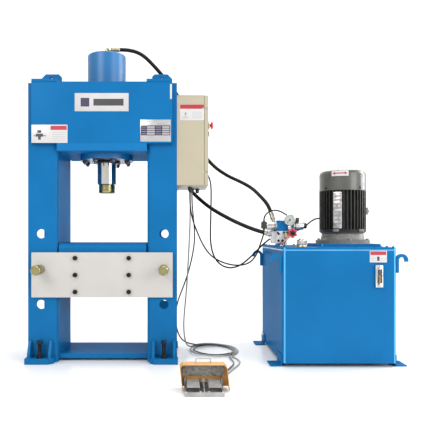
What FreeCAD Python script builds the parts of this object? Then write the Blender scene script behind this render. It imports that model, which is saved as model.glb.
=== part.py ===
"""Hydraulic H-frame press with its power unit, foot switch, hoses and cables, in millimetres.

The sizes below are measured from the press itself: X to the right, Y to the rear, Z up, with zero on
the floor under the ram. Each finished piece is then moved so that the whole machine stands on the
middle of its own floor area.
"""
import FreeCAD, Part
import math
import os
import re

import Sketcher
from FreeCAD import Placement, Rotation, Vector

DOC = FreeCAD.newDocument("HydraulicPress")
SHEET = DOC.addObject("Spreadsheet::Sheet", "Sizes")

# Driving dimensions: alias and value.
SIZES = {
    # columns and head
    "clear_width": 480, "column_width": 160, "column_depth": 370, "column_wall": 12,
    "column_height": 1500, "column_bend": 20, "head_bottom": 1132, "head_floor": 40,
    "head_plate": 30, "head_inset": 25, "cap_thick": 15, "lug_thick": 22, "lug_width": 114,
    "lug_height": 82, "lug_eye": 20, "weld_gap": 0,
    # base
    "rail_top": 40, "rail_wall": 12, "rail_depth": 300, "rail_lift": 14,
    "foot_width": 150, "foot_reach": 58, "foot_thick": 30, "gusset_height": 119,
    "gusset_thick": 14, "jack_radius": 10, "jack_height": 121, "jack_head": 15,
    # cylinder and ram
    "tube_radius": 108, "bore_radius": 80, "tube_height": 1700, "tube_end": 40,
    "flange_radius": 150, "flange_thick": 30, "stud_circle": 127, "stud_radius": 8,
    "rod_radius": 55, "nose_radius": 47, "nose_length": 48, "nose_spigot": 25,
    "spigot_length": 60, "ram_bottom": 919, "ram_stroke": 250, "piston_length": 120,
    "gland_length": 168, "running_fit": 0.05, "loose_fit": 0.3, "port_radius": 10,
    # table
    "table_half": 377, "table_bottom": 350, "table_plate": 20, "plate_height": 240,
    "bed_height": 640, "bed_wall": 25, "bed_bend": 30, "bed_gap": 5, "screw_column": 143,
    "screw_row": 90, "screw_first": 30, "screw_radius": 8, "screw_head": 12,
    "pin_height": 500, "pin_pitch": 190, "pin_radius": 24.7, "pin_inset": 70,
    "pin_reach": 106, "pin_tail": 30, "pin_chamfer": 4,
    # control box
    "box_width": 149, "box_bottom": 952, "box_height": 481, "box_length": 350,
    "box_wall": 2, "door_thick": 20, "door_gap": 3, "hinge_radius": 3,
    "estop_height": 1283, "button_height": 1238, "button_inset": 60, "estop_radius": 20,
    "estop_travel": 4, "button_radius": 11, "button_travel": 3,
    # tank
    "tank_left": 946, "tank_front": 302, "tank_width": 590, "tank_depth": 700,
    "tank_lift": 20, "tank_height": 607, "tank_wall": 5, "tank_round": 20,
    "lid_thick": 12, "pad_thick": 15, "pad_width": 330, "tank_foot": 60,
    "tank_foot_long": 150, "tank_foot_wall": 6, "anchor_radius": 7, "hook_radius": 32,
    "hook_bar": 16, "hook_thick": 15, "hook_inset": 22, "hook_drop": 54, "hook_stem": 66,
    "gauge_x": 1441,
    # motor and pump
    "motor_x": 1350, "motor_y": 20, "motor_flange": 150, "motor_radius": 129,
    "motor_body": 233, "shield_height": 46, "flange_height": 20, "fin_depth": 19,
    "fin_count": 40, "frame_wall": 14, "cover_height": 113, "cover_wall": 2,
    "shaft_radius": 19, "rotor_radius": 62, "pump_radius": 52, "pump_height": 110,
    "bell_height": 120, "bell_wall": 10,
    # valves
    "block_left": 921, "block_step": 18, "block_right": 983, "block_front": 160,
    "block_rear": 70, "block_bottom": 637, "block_top": 705, "valve_left": 943,
    "valve_width": 92, "valve_height": 57, "valve_depth": 46, "valve_y": 130,
    "solenoid_radius": 22, "solenoid_length": 57, "plug_size": 28,
    "gauge_radius": 30, "gauge_height": 764, "gauge_depth": 26, "dial_x": 1008, "wheel_x": 1015,
    "wheel_height": 693, "wheel_radius": 25, "relief_width": 52, "relief_front": 178,
    "cap_x": 1070, "cap_y": 188, "cap_radius": 28, "cap_height": 33,
    # foot switch
    "pedal_x": 518, "pedal_front": 815, "pedal_depth": 145, "pedal_width": 170,
    "pedal_height": 18, "tread_width": 56, "tread_gap": 41, "tread_top": 42,
    "tread_length": 112, "hood_top": 115, "hood_half": 104.5, "hood_flare": 10,
    "hood_depth": 53, "hood_wall": 3,
    # hoses and cables
    "hose_a": 21, "hose_b": 22, "lead": 8, "motor_lead": 9, "gland_radius": 11,
    "coil_x": 617, "coil_y": 98, "coil_wide": 152, "coil_deep": 187, "coil_band": 40,
    "coil_height": 22,
}

# Lengths that follow from the sizes.
DERIVED = {
    "inner": "clear_width / 2",
    "outer": "clear_width / 2 + column_width",
    "face": "column_depth / 2",
    "head_half": "outer - head_inset",
    "head_face": "face + head_plate",
    "head_base": "head_bottom + head_floor",
    "cap_top": "column_height + cap_thick",
    "jack_x": "outer - column_width / 2 + 10",
    "jack_y": "face + foot_reach / 2 + 2",
    "foot_edge": "jack_x + foot_width / 2",
    "flange_base": "head_bottom - flange_thick",
    "rod_base": "ram_bottom + nose_length",
    "piston_base": "flange_base + gland_length + ram_stroke + 10",
    "plate_face": "face + table_plate",
    "plate_top": "table_bottom + plate_height",
    "bed_half": "inner - bed_gap",
    "pin_x": "outer - pin_inset",
    "pin_hole": "pin_radius + loose_fit",
    "box_right": "outer + box_width",
    "box_front": "-face",
    "box_rear": "box_front + box_length",
    "box_top": "box_bottom + box_height",
    "door_face": "box_right + door_thick",
    "button_y": "box_front + button_inset",
    "rear_gland": "box_bottom + 138",
    "hinge_x": "box_right + 6",
    "hinge_y": "box_front + 6",
    "tank_right": "tank_left + tank_width",
    "tank_back": "tank_depth - tank_front",
    "lid_top": "tank_height + lid_thick",
    "pad_top": "lid_top + pad_thick",
    "right_end": "tank_right + 2 * hook_radius",
    "frame_base": "pad_top + flange_height + shield_height",
    "frame_top": "frame_base + motor_body",
    "bearing_top": "frame_top - 18",
    "cover_top": "frame_top + cover_height",
    "shaft_hole": "shaft_radius + running_fit",
    "pump_top": "tank_height - bell_height",
    "valve_top": "block_top + valve_height",
    "valve_right": "valve_left + valve_width",
    "solenoid_z": "block_top + valve_height / 2",
    "hood_back": "pedal_depth - pedal_front",
    "pivot_y": "hood_back - 20",
    "tread_x": "tread_gap / 2 + tread_width / 2 - 1.5",
    "row_x": "(foot_edge - right_end) / 2",
    "row_y": "(pedal_front - tank_back) / 2",
}

NODES = []


def fill_sheet():
    for row, (alias, value) in enumerate(SIZES.items(), start=1):
        SHEET.set(f"A{row}", alias)
        SHEET.set(f"B{row}", str(value))
        SHEET.setAlias(f"B{row}", alias)
    DOC.recompute()


def expand(text):
    """A formula in plain names, as an expression on the sheet's cells."""
    def swap(match):
        word = match.group(0)
        if word in DERIVED:
            return f"({expand(DERIVED[word])})"
        return f"Sizes.{word}" if word in SIZES else word
    return re.sub(r"[a-z_]+", swap, str(text))


def size(text):
    """The present value of a formula."""
    return float(SHEET.evalExpression(expand(text)))


def bind(item, path, text):
    item.setExpression(path, expand(text))


def ends(span):
    return [part.strip() for part in span.split("..")]


# Directions in which a turned piece or a rod may point, from its own +Z.
POINTING = {
    "Z": Rotation(), "-Z": Rotation(Vector(1, 0, 0), 180),
    "Y": Rotation(Vector(1, 0, 0), -90), "-Y": Rotation(Vector(1, 0, 0), 90),
    "X": Rotation(Vector(0, 1, 0), 90), "-X": Rotation(Vector(0, 1, 0), -90),
}
# The hoses leave their fittings on the manifold at a slant, towards the left and the rear.
LEAN = Vector(-0.2315, 0.3904, 0.891)
REACH = Vector(-0.87, 0.42, 0.26)
POINTING["LEAN"] = Rotation(Vector(0, 0, 1), LEAN)
POINTING["REACH"] = Rotation(Vector(0, 0, 1), REACH)
ACROSS = {"X": "yz", "Y": "xz", "Z": "xy"}


def place(item, x, y, z, turn=None):
    if turn is not None:
        item.Placement = Placement(Vector(), turn)
    for axis, text in zip("xyz", (x, y, z)):
        bind(item, f"Placement.Base.{axis}", text)


def block(name, x, y, z):
    """A box between three spans, each written as low .. high."""
    item = DOC.addObject("Part::Box", name)
    spans = [ends(span) for span in (x, y, z)]
    for side, (low, high) in zip(("Length", "Width", "Height"), spans):
        bind(item, side, f"({high}) - ({low})")
    place(item, *[low for low, high in spans])
    return item


def rod(name, axis, radius, across, span, far_radius=None):
    """A cylinder, or a cone with a far radius, along an axis; across gives its other two places."""
    item = DOC.addObject("Part::Cone" if far_radius else "Part::Cylinder", name)
    low, high = ends(span)
    bind(item, "Height", f"({high}) - ({low})")
    bind(item, "Radius1" if far_radius else "Radius", radius)
    if far_radius:
        bind(item, "Radius2", far_radius)
    spot = dict(zip(ACROSS[axis], across))
    spot[axis.lower()] = low
    place(item, spot["x"], spot["y"], spot["z"], POINTING[axis])
    return item


def hexagon(name, axis, flats, across, span):
    """A hexagonal prism of a width across flats."""
    item = DOC.addObject("Part::Prism", name)
    item.Polygon = 6
    low, high = ends(span)
    bind(item, "Circumradius", f"({flats}) / 2 / cos(30)")
    bind(item, "Height", f"({high}) - ({low})")
    spot = dict(zip(ACROSS[axis], across))
    spot[axis.lower()] = low
    place(item, spot["x"], spot["y"], spot["z"], POINTING[axis])
    return item


def outline(body, name, plane, points, offset=None):
    """A closed sketch through points given as pairs of formulas, on one of the body's own planes."""
    sketch = body.newObject("Sketcher::SketchObject", name)
    base = [f for f in body.Origin.OriginFeatures if f.Role == f"{plane}_Plane"][0]
    sketch.AttachmentSupport = [(base, "")]
    sketch.MapMode = "FlatFace"
    if offset is not None:
        bind(sketch, "AttachmentOffset.Base.z", offset)
    corners = [Vector(size(u), size(v), 0) for u, v in points]
    for start, end in zip(corners, corners[1:] + corners[:1]):
        sketch.addGeometry(Part.LineSegment(start, end))
    for i in range(len(corners)):
        sketch.addConstraint(Sketcher.Constraint("Coincident", i, 2, (i + 1) % len(corners), 1))
    for i, pair in enumerate(points):
        for kind, text, value in zip(("DistanceX", "DistanceY"), pair, corners[i]):
            number = sketch.addConstraint(Sketcher.Constraint(kind, -1, 1, i, 1, value))
            sketch.setExpression(f"Constraints[{number}]", expand(text))
    return sketch


def extruded(name, plane, points, span):
    """A pad of an outline: XY rises in Z, XZ runs in Y and YZ runs in X, between the ends of span."""
    body = DOC.addObject("PartDesign::Body", name)
    low, high = ends(span)
    sketch = outline(body, f"{name}_outline", plane, points, f"-({high})" if plane == "XZ" else low)
    pad = body.newObject("PartDesign::Pad", f"{name}_pad")
    pad.Profile = sketch
    bind(pad, "Length", f"({high}) - ({low})")
    return body


def turned(name, points, x="0", y="0", z="0", pointing="Z"):
    """A full turn of an outline of (radius, height) pairs about the piece's own axis."""
    body = DOC.addObject("PartDesign::Body", name)
    sketch = outline(body, f"{name}_outline", "XZ", points)
    turn = body.newObject("PartDesign::Revolution", f"{name}_turn")
    turn.Profile = sketch
    turn.ReferenceAxis = (sketch, ["V_Axis"])
    turn.Angle = 360
    place(body, x, y, z, POINTING[pointing])
    return body


def cut(name, base, *tools):
    """The base without the tools."""
    item = DOC.addObject("Part::Cut", name)
    item.Base = base
    item.Tool = tools[0] if len(tools) == 1 else join(f"{name}_tools", *tools)
    return item


def join(name, *pieces):
    item = DOC.addObject("Part::MultiFuse", name)
    item.Shapes = list(pieces)
    return item


def group(name, *pieces):
    item = DOC.addObject("Part::Compound", name)
    item.Links = list(pieces)
    return item


def rounded(name, base, radius, chosen):
    """The base with its chosen edges rounded; chosen is a test on an edge."""
    DOC.recompute()
    item = DOC.addObject("Part::Fillet", name)
    item.Base = base
    r = size(radius)
    item.Edges = [(i, r, r) for i, edge in enumerate(base.Shape.Edges, start=1) if chosen(edge)]
    return item


def along(axis):
    """A test for straight edges that run along an axis."""
    way = {"x": Vector(1, 0, 0), "y": Vector(0, 1, 0), "z": Vector(0, 0, 1)}[axis]

    def test(edge):
        if not isinstance(edge.Curve, Part.Line):
            return False
        return abs(abs(edge.Curve.Direction * way) - 1) < 1e-6
    return test


def node(label, *pieces):
    """A finished sub-part: its solids, moved onto the machine's own origin."""
    item = DOC.addObject("Part::Compound", f"node_{label}")
    item.Links = list(pieces)
    item.Label = label
    bind(item, "Placement.Base.x", "row_x")
    bind(item, "Placement.Base.y", "row_y")
    NODES.append(item)


# ---- welded frame ----

def column(label, side):
    """A plate bent to a channel: its web faces the ram and its open side faces outwards."""
    wall = [
        (f"{side} * outer", "-face"), (f"{side} * inner", "-face"), (f"{side} * inner", "face"),
        (f"{side} * outer", "face"), (f"{side} * outer", "face - column_wall"),
        (f"{side} * (inner + column_wall)", "face - column_wall"),
        (f"{side} * (inner + column_wall)", "column_wall - face"),
        (f"{side} * outer", "column_wall - face"),
    ]
    channel = extruded(f"{label}_channel", "XY", wall, "0 .. column_height")
    web, wide = size("inner"), size("column_wall")
    upright = along("z")

    def bend(reach):
        return lambda edge: (upright(edge) and abs(abs(edge.CenterOfMass.x) - reach) < 1
                             and abs(edge.CenterOfMass.y) > size("face") - wide - 1)
    outside = rounded(f"{label}_outside", channel, "column_bend", bend(web))
    bent = rounded(f"{label}_bent", outside, "column_bend - column_wall", bend(web + wide))
    holes = [rod(f"{label}_hole", "Y", "pin_hole", (f"{side} * pin_x", f"pin_height + {k} * pin_pitch"),
                 "-face - 5 .. face + 5") for k in (-1, 0, 1)]
    node(label, cut(f"{label}_drilled", bent, *holes))


def head():
    """Two plates across the columns, over a thick floor that holds the cylinder."""
    front = block("front_plate", "-head_half .. head_half", "-head_face .. -face",
                  "head_base .. column_height")
    rear = block("rear_plate", "-head_half .. head_half", "face .. head_face",
                 "head_base .. column_height")
    opening = rod("hose_opening", "Y", "36", ("0", "head_base + 48"), "face - 5 .. head_face + 5")
    node("head_front_plate", front)
    node("head_rear_plate", cut("rear_plate_open", rear, opening))
    slab = block("floor_slab", "-inner .. inner", "-head_face .. head_face",
                 "head_bottom .. head_base")
    tools = [rod("tube_hole", "Z", "tube_radius + loose_fit", ("0", "0"),
                 "head_bottom - 5 .. head_base + 5")]
    tools += [rod("stud_hole", "Z", "stud_radius", spot, "head_bottom - 5 .. head_bottom + 28")
              for spot in stud_spots()]
    node("head_floor", cut("floor_drilled", slab, *tools))


def stud_spots():
    turn = 360 / 8
    return [(f"stud_circle * cos({turn * k + turn / 2})", f"stud_circle * sin({turn * k + turn / 2})")
            for k in range(8)]


def lifting_lugs():
    """A cap plate on each column, with an upright plate that has the lifting eye."""
    pieces = []
    for side in (-1, 1):
        low, high = sorted((f"{side} * (inner - 2)", f"{side} * head_half"), key=size)
        cap = block("cap", f"{low} .. {high}", "-head_face .. head_face",
                    "column_height .. cap_top")
        outer, inside = f"{side} * (head_half - 3)", f"{side} * (head_half - 3 - lug_width)"
        top = "cap_top + lug_height"
        plate = extruded("lug", "XZ", [
            (outer, "cap_top - 1"), (outer, f"{top} - 26"), (f"{side} * (head_half - 29)", top),
            (f"{side} * (head_half + 11 - lug_width)", top), (inside, f"{top} - 14"),
            (inside, "cap_top - 1")], "-lug_thick / 2 .. lug_thick / 2")
        eye = rod("eye", "Y", "lug_eye", (f"{side} * (head_half - 3 - lug_width / 2)",
                                          "cap_top + lug_height / 2 + 4"), "-lug_thick .. lug_thick")
        pieces.append(cut("lug_on_cap", join("lug_weld", cap, plate), eye))
    node("lifting_lugs", *pieces)


def bottom_rail():
    """A shallow inverted channel between the columns."""
    half = "rail_depth / 2"
    low = "rail_top - rail_wall"
    channel = extruded("rail", "YZ", [
        (f"-({half})", "rail_lift"), (f"-({half})", "rail_top"), (half, "rail_top"),
        (half, "rail_lift"), (f"{half} - rail_wall", "rail_lift"), (f"{half} - rail_wall", low),
        (f"rail_wall - {half}", low), (f"rail_wall - {half}", "rail_lift")], "-inner .. inner")
    node("bottom_rail", channel)


def feet():
    """A base plate with two gussets in front of and behind each column, and its levelling bolt."""
    plates, bolts = [], []
    for side in (-1, 1):
        for way in (-1, 1):
            outer, inside = f"{side} * foot_edge", f"{side} * (foot_edge - foot_width)"
            tip = "face + foot_reach"
            plate = extruded("foot_plate", "XY", [
                (outer, f"{way} * face"), (outer, f"{way} * ({tip})"),
                (f"{side} * (foot_edge - foot_width + 24)", f"{way} * ({tip})"),
                (inside, f"{way} * ({tip} - 24)"), (inside, f"{way} * face")], "0 .. foot_thick")
            gussets = []
            for reach in ("foot_edge - 12", "foot_edge - foot_width + 26"):
                low, high = sorted((f"{side} * ({reach})", f"{side} * ({reach} - gusset_thick)"),
                                   key=size)
                gussets.append(extruded("gusset", "YZ", [
                    (f"{way} * face", "foot_thick - 1"), (f"{way} * face", "gusset_height"),
                    (f"{way} * (face + 16)", "gusset_height"),
                    (f"{way} * ({tip} - 8)", "foot_thick + 22"),
                    (f"{way} * ({tip} - 8)", "foot_thick - 1")], f"{low} .. {high}"))
            spot = (f"{side} * jack_x", f"{way} * jack_y")
            hole = rod("jack_hole", "Z", "jack_radius", spot, "-5 .. foot_thick + 5")
            plates.append(cut("foot", join("foot_weld", plate, *gussets), hole))
            shank = rod("jack_shank", "Z", "jack_radius", spot, "0.5 .. jack_height - jack_head")
            top = hexagon("jack_top", "Z", "30", spot, "jack_height - jack_head - 0.01 .. jack_height")
            bolts.append(join("jack", shank, top))
    node("feet", *plates)
    node("levelling_bolts", *bolts)


# ---- cylinder and ram ----

def cylinder():
    """The barrel with its welded end and flange, bolted under the head's floor."""
    end = "tube_height - tube_end"
    barrel = turned("barrel", [
        ("bore_radius", "flange_base"), ("flange_radius", "flange_base"),
        ("flange_radius", "head_bottom"), ("tube_radius", "head_bottom"),
        ("tube_radius", "tube_height - 4"), ("tube_radius - 4", "tube_height"),
        ("port_radius", "tube_height"), ("port_radius", end), ("bore_radius", end)])
    holes = [rod("flange_hole", "Z", "stud_radius", spot, "flange_base - 5 .. head_bottom + 5")
             for spot in stud_spots()]
    side_port = rod("side_port", "Y", "port_radius", ("0", "head_base + 48"), "0 .. tube_radius + 5")
    node("cylinder_tube", cut("barrel_drilled", barrel, side_port, *holes))
    pieces = []
    for spot in stud_spots():
        stud = rod("stud", "Z", "stud_radius", spot, "flange_base - 23 .. head_bottom + 26")
        nut = hexagon("stud_nut", "Z", "24", spot, "flange_base - 16 .. flange_base - 3")
        washer = rod("stud_washer", "Z", "15", spot, "flange_base - 3 .. flange_base")
        pieces.append(join("stud_set", stud, nut, washer))
    node("flange_bolts", *pieces)
    gland = turned("gland", [
        ("rod_radius + running_fit", "flange_base - 8"), ("bore_radius - 6", "flange_base - 8"),
        ("bore_radius - 6", "flange_base"), ("bore_radius", "flange_base"),
        ("bore_radius", "flange_base + gland_length - 90"),
        ("bore_radius - 8", "flange_base + gland_length - 84"),
        ("bore_radius - 8", "flange_base + gland_length"),
        ("rod_radius + running_fit", "flange_base + gland_length")])
    node("rod_gland", gland)


def ram():
    """The chromed rod with its screwed-on piston, and the pressing nose with its spigot in the rod."""
    spigot = "rod_radius - 25"
    top = "piston_base + piston_length"
    piston = turned("piston_body", [
        (spigot, "piston_base"), ("bore_radius - running_fit", "piston_base"),
        ("bore_radius - running_fit", f"{top} - 4"), ("bore_radius - 4", top), (spigot, top)])
    socket = "rod_base + spigot_length + 1"
    rod_body = turned("rod_body", [
        ("nose_spigot", "rod_base"), ("rod_radius - 3", "rod_base"), ("rod_radius", "rod_base + 3"),
        ("rod_radius", "piston_base"), (spigot, "piston_base"), (spigot, f"{top} - 6"),
        ("0", f"{top} - 6"), ("0", socket), ("nose_spigot", socket)])
    node("ram_rod", rod_body, piston)
    node("ram_nose", turned("nose_body", [
        ("0", "ram_bottom"), ("nose_radius - 2", "ram_bottom"), ("nose_radius", "ram_bottom + 2"),
        ("nose_radius", "rod_base"), ("nose_spigot", "rod_base"),
        ("nose_spigot", "rod_base + spigot_length"), ("0", "rod_base + spigot_length")]))


# ---- work table ----

def table_screw_spots():
    return [(f"{k} * screw_column", f"table_bottom + screw_first + {row} * screw_row")
            for k in (-1, 0, 1) for row in (0, 1, 2)]


def table():
    """Two thick plates screwed to a bent bed, carried by the two pins."""
    inside = "bed_half", "face - bed_wall", "bed_height - bed_wall"
    bed = extruded("bed_channel", "YZ", [
        ("-face", "table_bottom"), ("-face", "bed_height"), ("face", "bed_height"),
        ("face", "table_bottom"), (inside[1], "table_bottom"), (inside[1], inside[2]),
        (f"-({inside[1]})", inside[2]), (f"-({inside[1]})", "table_bottom")],
        "-bed_half .. bed_half")
    high = size("bed_height")
    bent = rounded("bed_bent", bed, "bed_bend",
                   lambda edge: along("x")(edge) and abs(edge.CenterOfMass.z - high) < 1)
    ribs = [block("bed_rib", f"{k} * bed_half / 2 - 8 .. {k} * bed_half / 2 + 8",
                  f"-({inside[1]}) .. {inside[1]}", f"table_bottom + 30 .. {inside[2]}")
            for k in (-1, 1)]
    screw_columns = [spot for spot in table_screw_spots() if not spot[0].startswith("0")]
    holes = [rod("bed_thread", "Y", "screw_radius", spot, "-face - 1 .. face + 1")
             for spot in screw_columns]
    node("table_bed", cut("bed_drilled", join("bed_weld", bent, *ribs), *holes))
    screws = []
    for label, way in (("table_front_plate", -1), ("table_rear_plate", 1)):
        low, high = sorted((f"{way} * face", f"{way} * plate_face"), key=size)
        plate = block(f"{label}_slab", "-table_half .. table_half", f"{low} .. {high}",
                      "table_bottom .. plate_top")
        tools = [rod("plate_hole", "Y", "screw_radius + loose_fit", spot,
                     "-plate_face - 5 .. plate_face + 5") for spot in screw_columns]
        tools += [rod("plate_pin_hole", "Y", "pin_hole", (f"{side} * pin_x", "pin_height"),
                      "-plate_face - 5 .. plate_face + 5") for side in (-1, 1)]
        edged = rounded(f"{label}_edged", plate, "3", along("y"))
        node(label, cut(f"{label}_drilled", edged, *tools))
        for x, z in screw_columns:
            screws.append(turned("table_screw", [
                ("0", "-(table_plate + bed_wall - 2)"),
                ("screw_radius", "-(table_plate + bed_wall - 2)"), ("screw_radius", "0"),
                ("screw_head", "0"), ("screw_head", "14"), ("screw_head - 1.5", "15.5"),
                ("7", "15.5"), ("7", "7"), ("0", "7")],
                x, f"{way} * plate_face", z, "Y" if way > 0 else "-Y"))
    node("table_screws", *screws)


def table_pin(label, side):
    """A loose pin through the plates and the column's flanges."""
    length = "2 * plate_face + pin_reach + pin_tail"
    node(label, turned(f"{label}_bar", [
        ("0", "0"), ("pin_radius - pin_chamfer", "0"), ("pin_radius", "pin_chamfer"),
        ("pin_radius", f"{length} - pin_chamfer"), ("pin_radius - pin_chamfer", length),
        ("0", length)], f"{side} * pin_x", "plate_face + pin_tail", "pin_height", "-Y"))


# ---- control box ----

def control_box():
    """A sheet steel box on the right column, open to its door on the right."""
    shell_end = "box_right - door_gap"
    outside = block("box_outside", f"outer .. {shell_end}", "box_front .. box_rear",
                    "box_bottom .. box_top")
    inside = block("box_inside", f"outer + box_wall .. {shell_end} + 5",
                   "box_front + box_wall .. box_rear - box_wall",
                   "box_bottom + box_wall .. box_top - box_wall")
    holes = [rod("gland_hole", "Z", "gland_radius - 3", spot, "box_bottom - 5 .. box_bottom + 5")
             for spot in gland_spots()]
    holes.append(rod("rear_gland_hole", "Y", "gland_radius - 3", ("box_right - 9 - gland_radius", "rear_gland"),
                     "box_rear - 5 .. box_rear + 5"))
    shell = cut("box_shell", outside, inside, *holes)
    brackets = []
    for z in ("box_bottom + 70", "box_top - 70"):
        ear = block("hinge_ear", f"{shell_end} - 14 .. hinge_x + hinge_radius + 3",
                    "box_front + box_wall .. hinge_y + hinge_radius + 3", f"{z} - 3 .. {z} + 3")
        pin = rod("hinge_pin", "Z", "hinge_radius", ("hinge_x", "hinge_y"), f"{z} - 3 .. {z} + 24")
        brackets.append(join("hinge_bracket", ear, pin))
    node("control_box", shell, *brackets)
    gear = [block("back_panel", "outer + box_wall .. outer + box_wall + 3",
                  "box_front + 30 .. box_rear - 30", "box_bottom + 40 .. box_top - 40")]
    for k, (low, high) in enumerate(((0, 45), (52, 97), (104, 149), (156, 220))):
        gear.append(block("contactor", "outer + box_wall + 3 .. outer + 88",
                          f"box_front + 60 + {low} .. box_front + 60 + {high}",
                          "box_bottom + 250 .. box_bottom + 335"))
    gear.append(block("terminal_row", "outer + box_wall + 3 .. outer + 50",
                      "box_front + 60 .. box_front + 290", "box_bottom + 90 .. box_bottom + 140"))
    gear.append(block("transformer", "outer + box_wall + 3 .. outer + 80",
                      "box_front + 60 .. box_front + 150", "box_bottom + 155 .. box_bottom + 235"))
    node("switch_gear", *gear)


def control_door():
    """A folded tray that hangs on two pins inside its front edge and carries the buttons."""
    skin = "box_wall"
    tray = block("door_tray", "box_right .. door_face", "box_front .. box_rear",
                 "box_bottom .. box_top")
    hollow = block("door_hollow", f"box_right - 5 .. door_face - {skin}",
                   f"box_front + {skin} .. box_rear - {skin}",
                   f"box_bottom + {skin} .. box_top - {skin}")
    knuckles, bores = [], []
    for z in ("box_bottom + 70", "box_top - 70"):
        knuckles.append(block("knuckle", "hinge_x - 5.5 .. door_face - 1",
                              "box_front + 0.5 .. hinge_y + hinge_radius + 3", f"{z} + 3.5 .. {z} + 23"))
        bores.append(rod("knuckle_bore", "Z", "hinge_radius + running_fit", ("hinge_x", "hinge_y"),
                         f"{z} .. {z} + 30"))
    stems = [rod("stem_bore", "X", radius, ("button_y", height), "box_right - 5 .. door_face + 5")
             for radius, height in (("9 + loose_fit", "estop_height"),
                                    ("button_radius + loose_fit", "button_height"))]
    notches = [block("ear_room", "box_right - 1 .. hinge_x + hinge_radius + 4",
                     "box_front - 1 .. box_front + box_wall + 0.5", f"{z} - 4 .. {z} + 4")
               for z in ("box_bottom + 70", "box_top - 70")]
    shell = join("door_weld", cut("door_shell", tray, hollow, *notches), *knuckles)
    collars = []
    for name, bore, outside, height, rise in (
            ("estop_collar", "9 + loose_fit", "15", "estop_height", "5"),
            ("button_collar", "button_radius + loose_fit", "15", "button_height", "3")):
        collars.append(turned(name, [(bore, "-door_thick + 2"), (outside, "-door_thick + 2"),
                                     (outside, "0"), (outside, rise), (bore, rise)],
                              "door_face", "button_y", height, "X"))
    node("control_door", cut("door_bored", join("door_full", shell, *collars), *bores, *stems))
    node("estop_button", turned("estop_mushroom", [
        ("0", "-door_thick + 3"), ("9", "-door_thick + 3"), ("9", "8 + estop_travel"),
        ("estop_radius - 5", "8 + estop_travel"), ("estop_radius", "11 + estop_travel"),
        ("estop_radius", "14 + estop_travel"), ("estop_radius - 3", "18 + estop_travel"),
        ("estop_radius - 9", "21 + estop_travel"), ("0", "22 + estop_travel")],
        "door_face", "button_y", "estop_height", "X"))
    node("start_button", turned("start_cap", [
        ("0", "-door_thick + 4"), ("button_radius", "-door_thick + 4"),
        ("button_radius", "3 + button_travel"), ("button_radius - 1.5", "4.5 + button_travel"),
        ("0", "4.5 + button_travel")], "door_face", "button_y", "button_height", "X"))


def gland_spots():
    return [("outer + 72", "-60"), ("outer + 75", "-22"), ("outer + 86", "22"), ("outer + 118", "70")]


def gland(name, pointing, x, y, z):
    """A cable gland: a hexagon body and a domed nut, with the lead's bore."""
    body = turned(name, [
        ("lead / 2", "-6"), ("gland_radius - 3", "-6"), ("gland_radius - 3", "0"),
        ("gland_radius", "0"), ("gland_radius", "8"), ("gland_radius - 1.5", "9"),
        ("gland_radius - 1.5", "20"), ("gland_radius - 4", "26"), ("lead / 2", "26")],
        x, y, z, pointing)
    return body


def cable_glands():
    pieces = [gland("box_gland", "-Z", x, y, "box_bottom") for x, y in gland_spots()]
    pieces.append(gland("motor_gland", "Y", "box_right - 9 - gland_radius", "box_rear", "rear_gland"))
    node("cable_glands", *pieces)


# ---- tank ----

def tank():
    """A sheet steel oil tank on angle feet, with lifting hooks, a lid and a level gauge."""
    upright = along("z")
    outside = rounded("tank_outside", block(
        "tank_block", "tank_left .. tank_right", "-tank_front .. tank_back",
        "tank_lift .. tank_height"), "tank_round", upright)
    inside = rounded("tank_inside", block(
        "tank_hollow", "tank_left + tank_wall .. tank_right - tank_wall",
        "tank_wall - tank_front .. tank_back - tank_wall", "tank_lift + tank_wall .. tank_height + 5"),
        "tank_round - tank_wall", upright)
    node("tank_shell", cut("tank_open", outside, inside))
    lid = rounded("lid_outside", block(
        "lid_block", "tank_left .. tank_right", "-tank_front .. tank_back",
        "tank_height .. lid_top"), "tank_round", upright)
    motor = ("motor_x", "motor_y")
    pad = rounded("pad_outside", block(
        "pad_block", "motor_x - pad_width / 2 .. motor_x + pad_width / 2",
        "motor_y - pad_width / 2 .. motor_y + pad_width / 2", "lid_top .. pad_top"), "12", upright)
    spots = {"motor_hole": ("Z", "shaft_radius + 6", motor), "cap_hole": ("Z", "16", ("cap_x", "-cap_y")),
             "return_hole": ("Z", "7", ("block_right + 8", "-valve_y - 10"))}
    tools = [rod(name, axis, radius, spot, "tank_height - 5 .. pad_top + 5")
             for name, (axis, radius, spot) in spots.items()]
    neck = turned("filler_neck", [("16", "tank_height - 30"), ("20", "tank_height - 30"), ("20", "lid_top"),
                                  ("26", "lid_top"), ("26", "lid_top + 10"), ("16", "lid_top + 10")],
                  "cap_x", "-cap_y")
    stand = block("valve_stand", "block_left + 27 .. block_right - 4", "-block_front + 8 .. -block_rear - 6",
                  "lid_top .. block_bottom")
    drilled = cut("lid_drilled", join("lid_weld", lid, pad, stand), *tools,
                  rod("neck_hole", "Z", "20", ("cap_x", "-cap_y"), "tank_height - 5 .. pad_top"))
    node("tank_lid", drilled, neck)
    node("filler_cap", turned("cap_turned", [
        ("0", "lid_top - 6"), ("16 - loose_fit", "lid_top - 6"), ("16 - loose_fit", "lid_top + 10.3"),
        ("cap_radius - 1", "lid_top + 10.3"), ("cap_radius", "lid_top + 12"),
        ("cap_radius", "lid_top + 6 + cap_height"), ("cap_radius - 4", "lid_top + 12 + cap_height"),
        ("0", "lid_top + 13 + cap_height")], "cap_x", "-cap_y"))
    tank_fittings()


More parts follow.
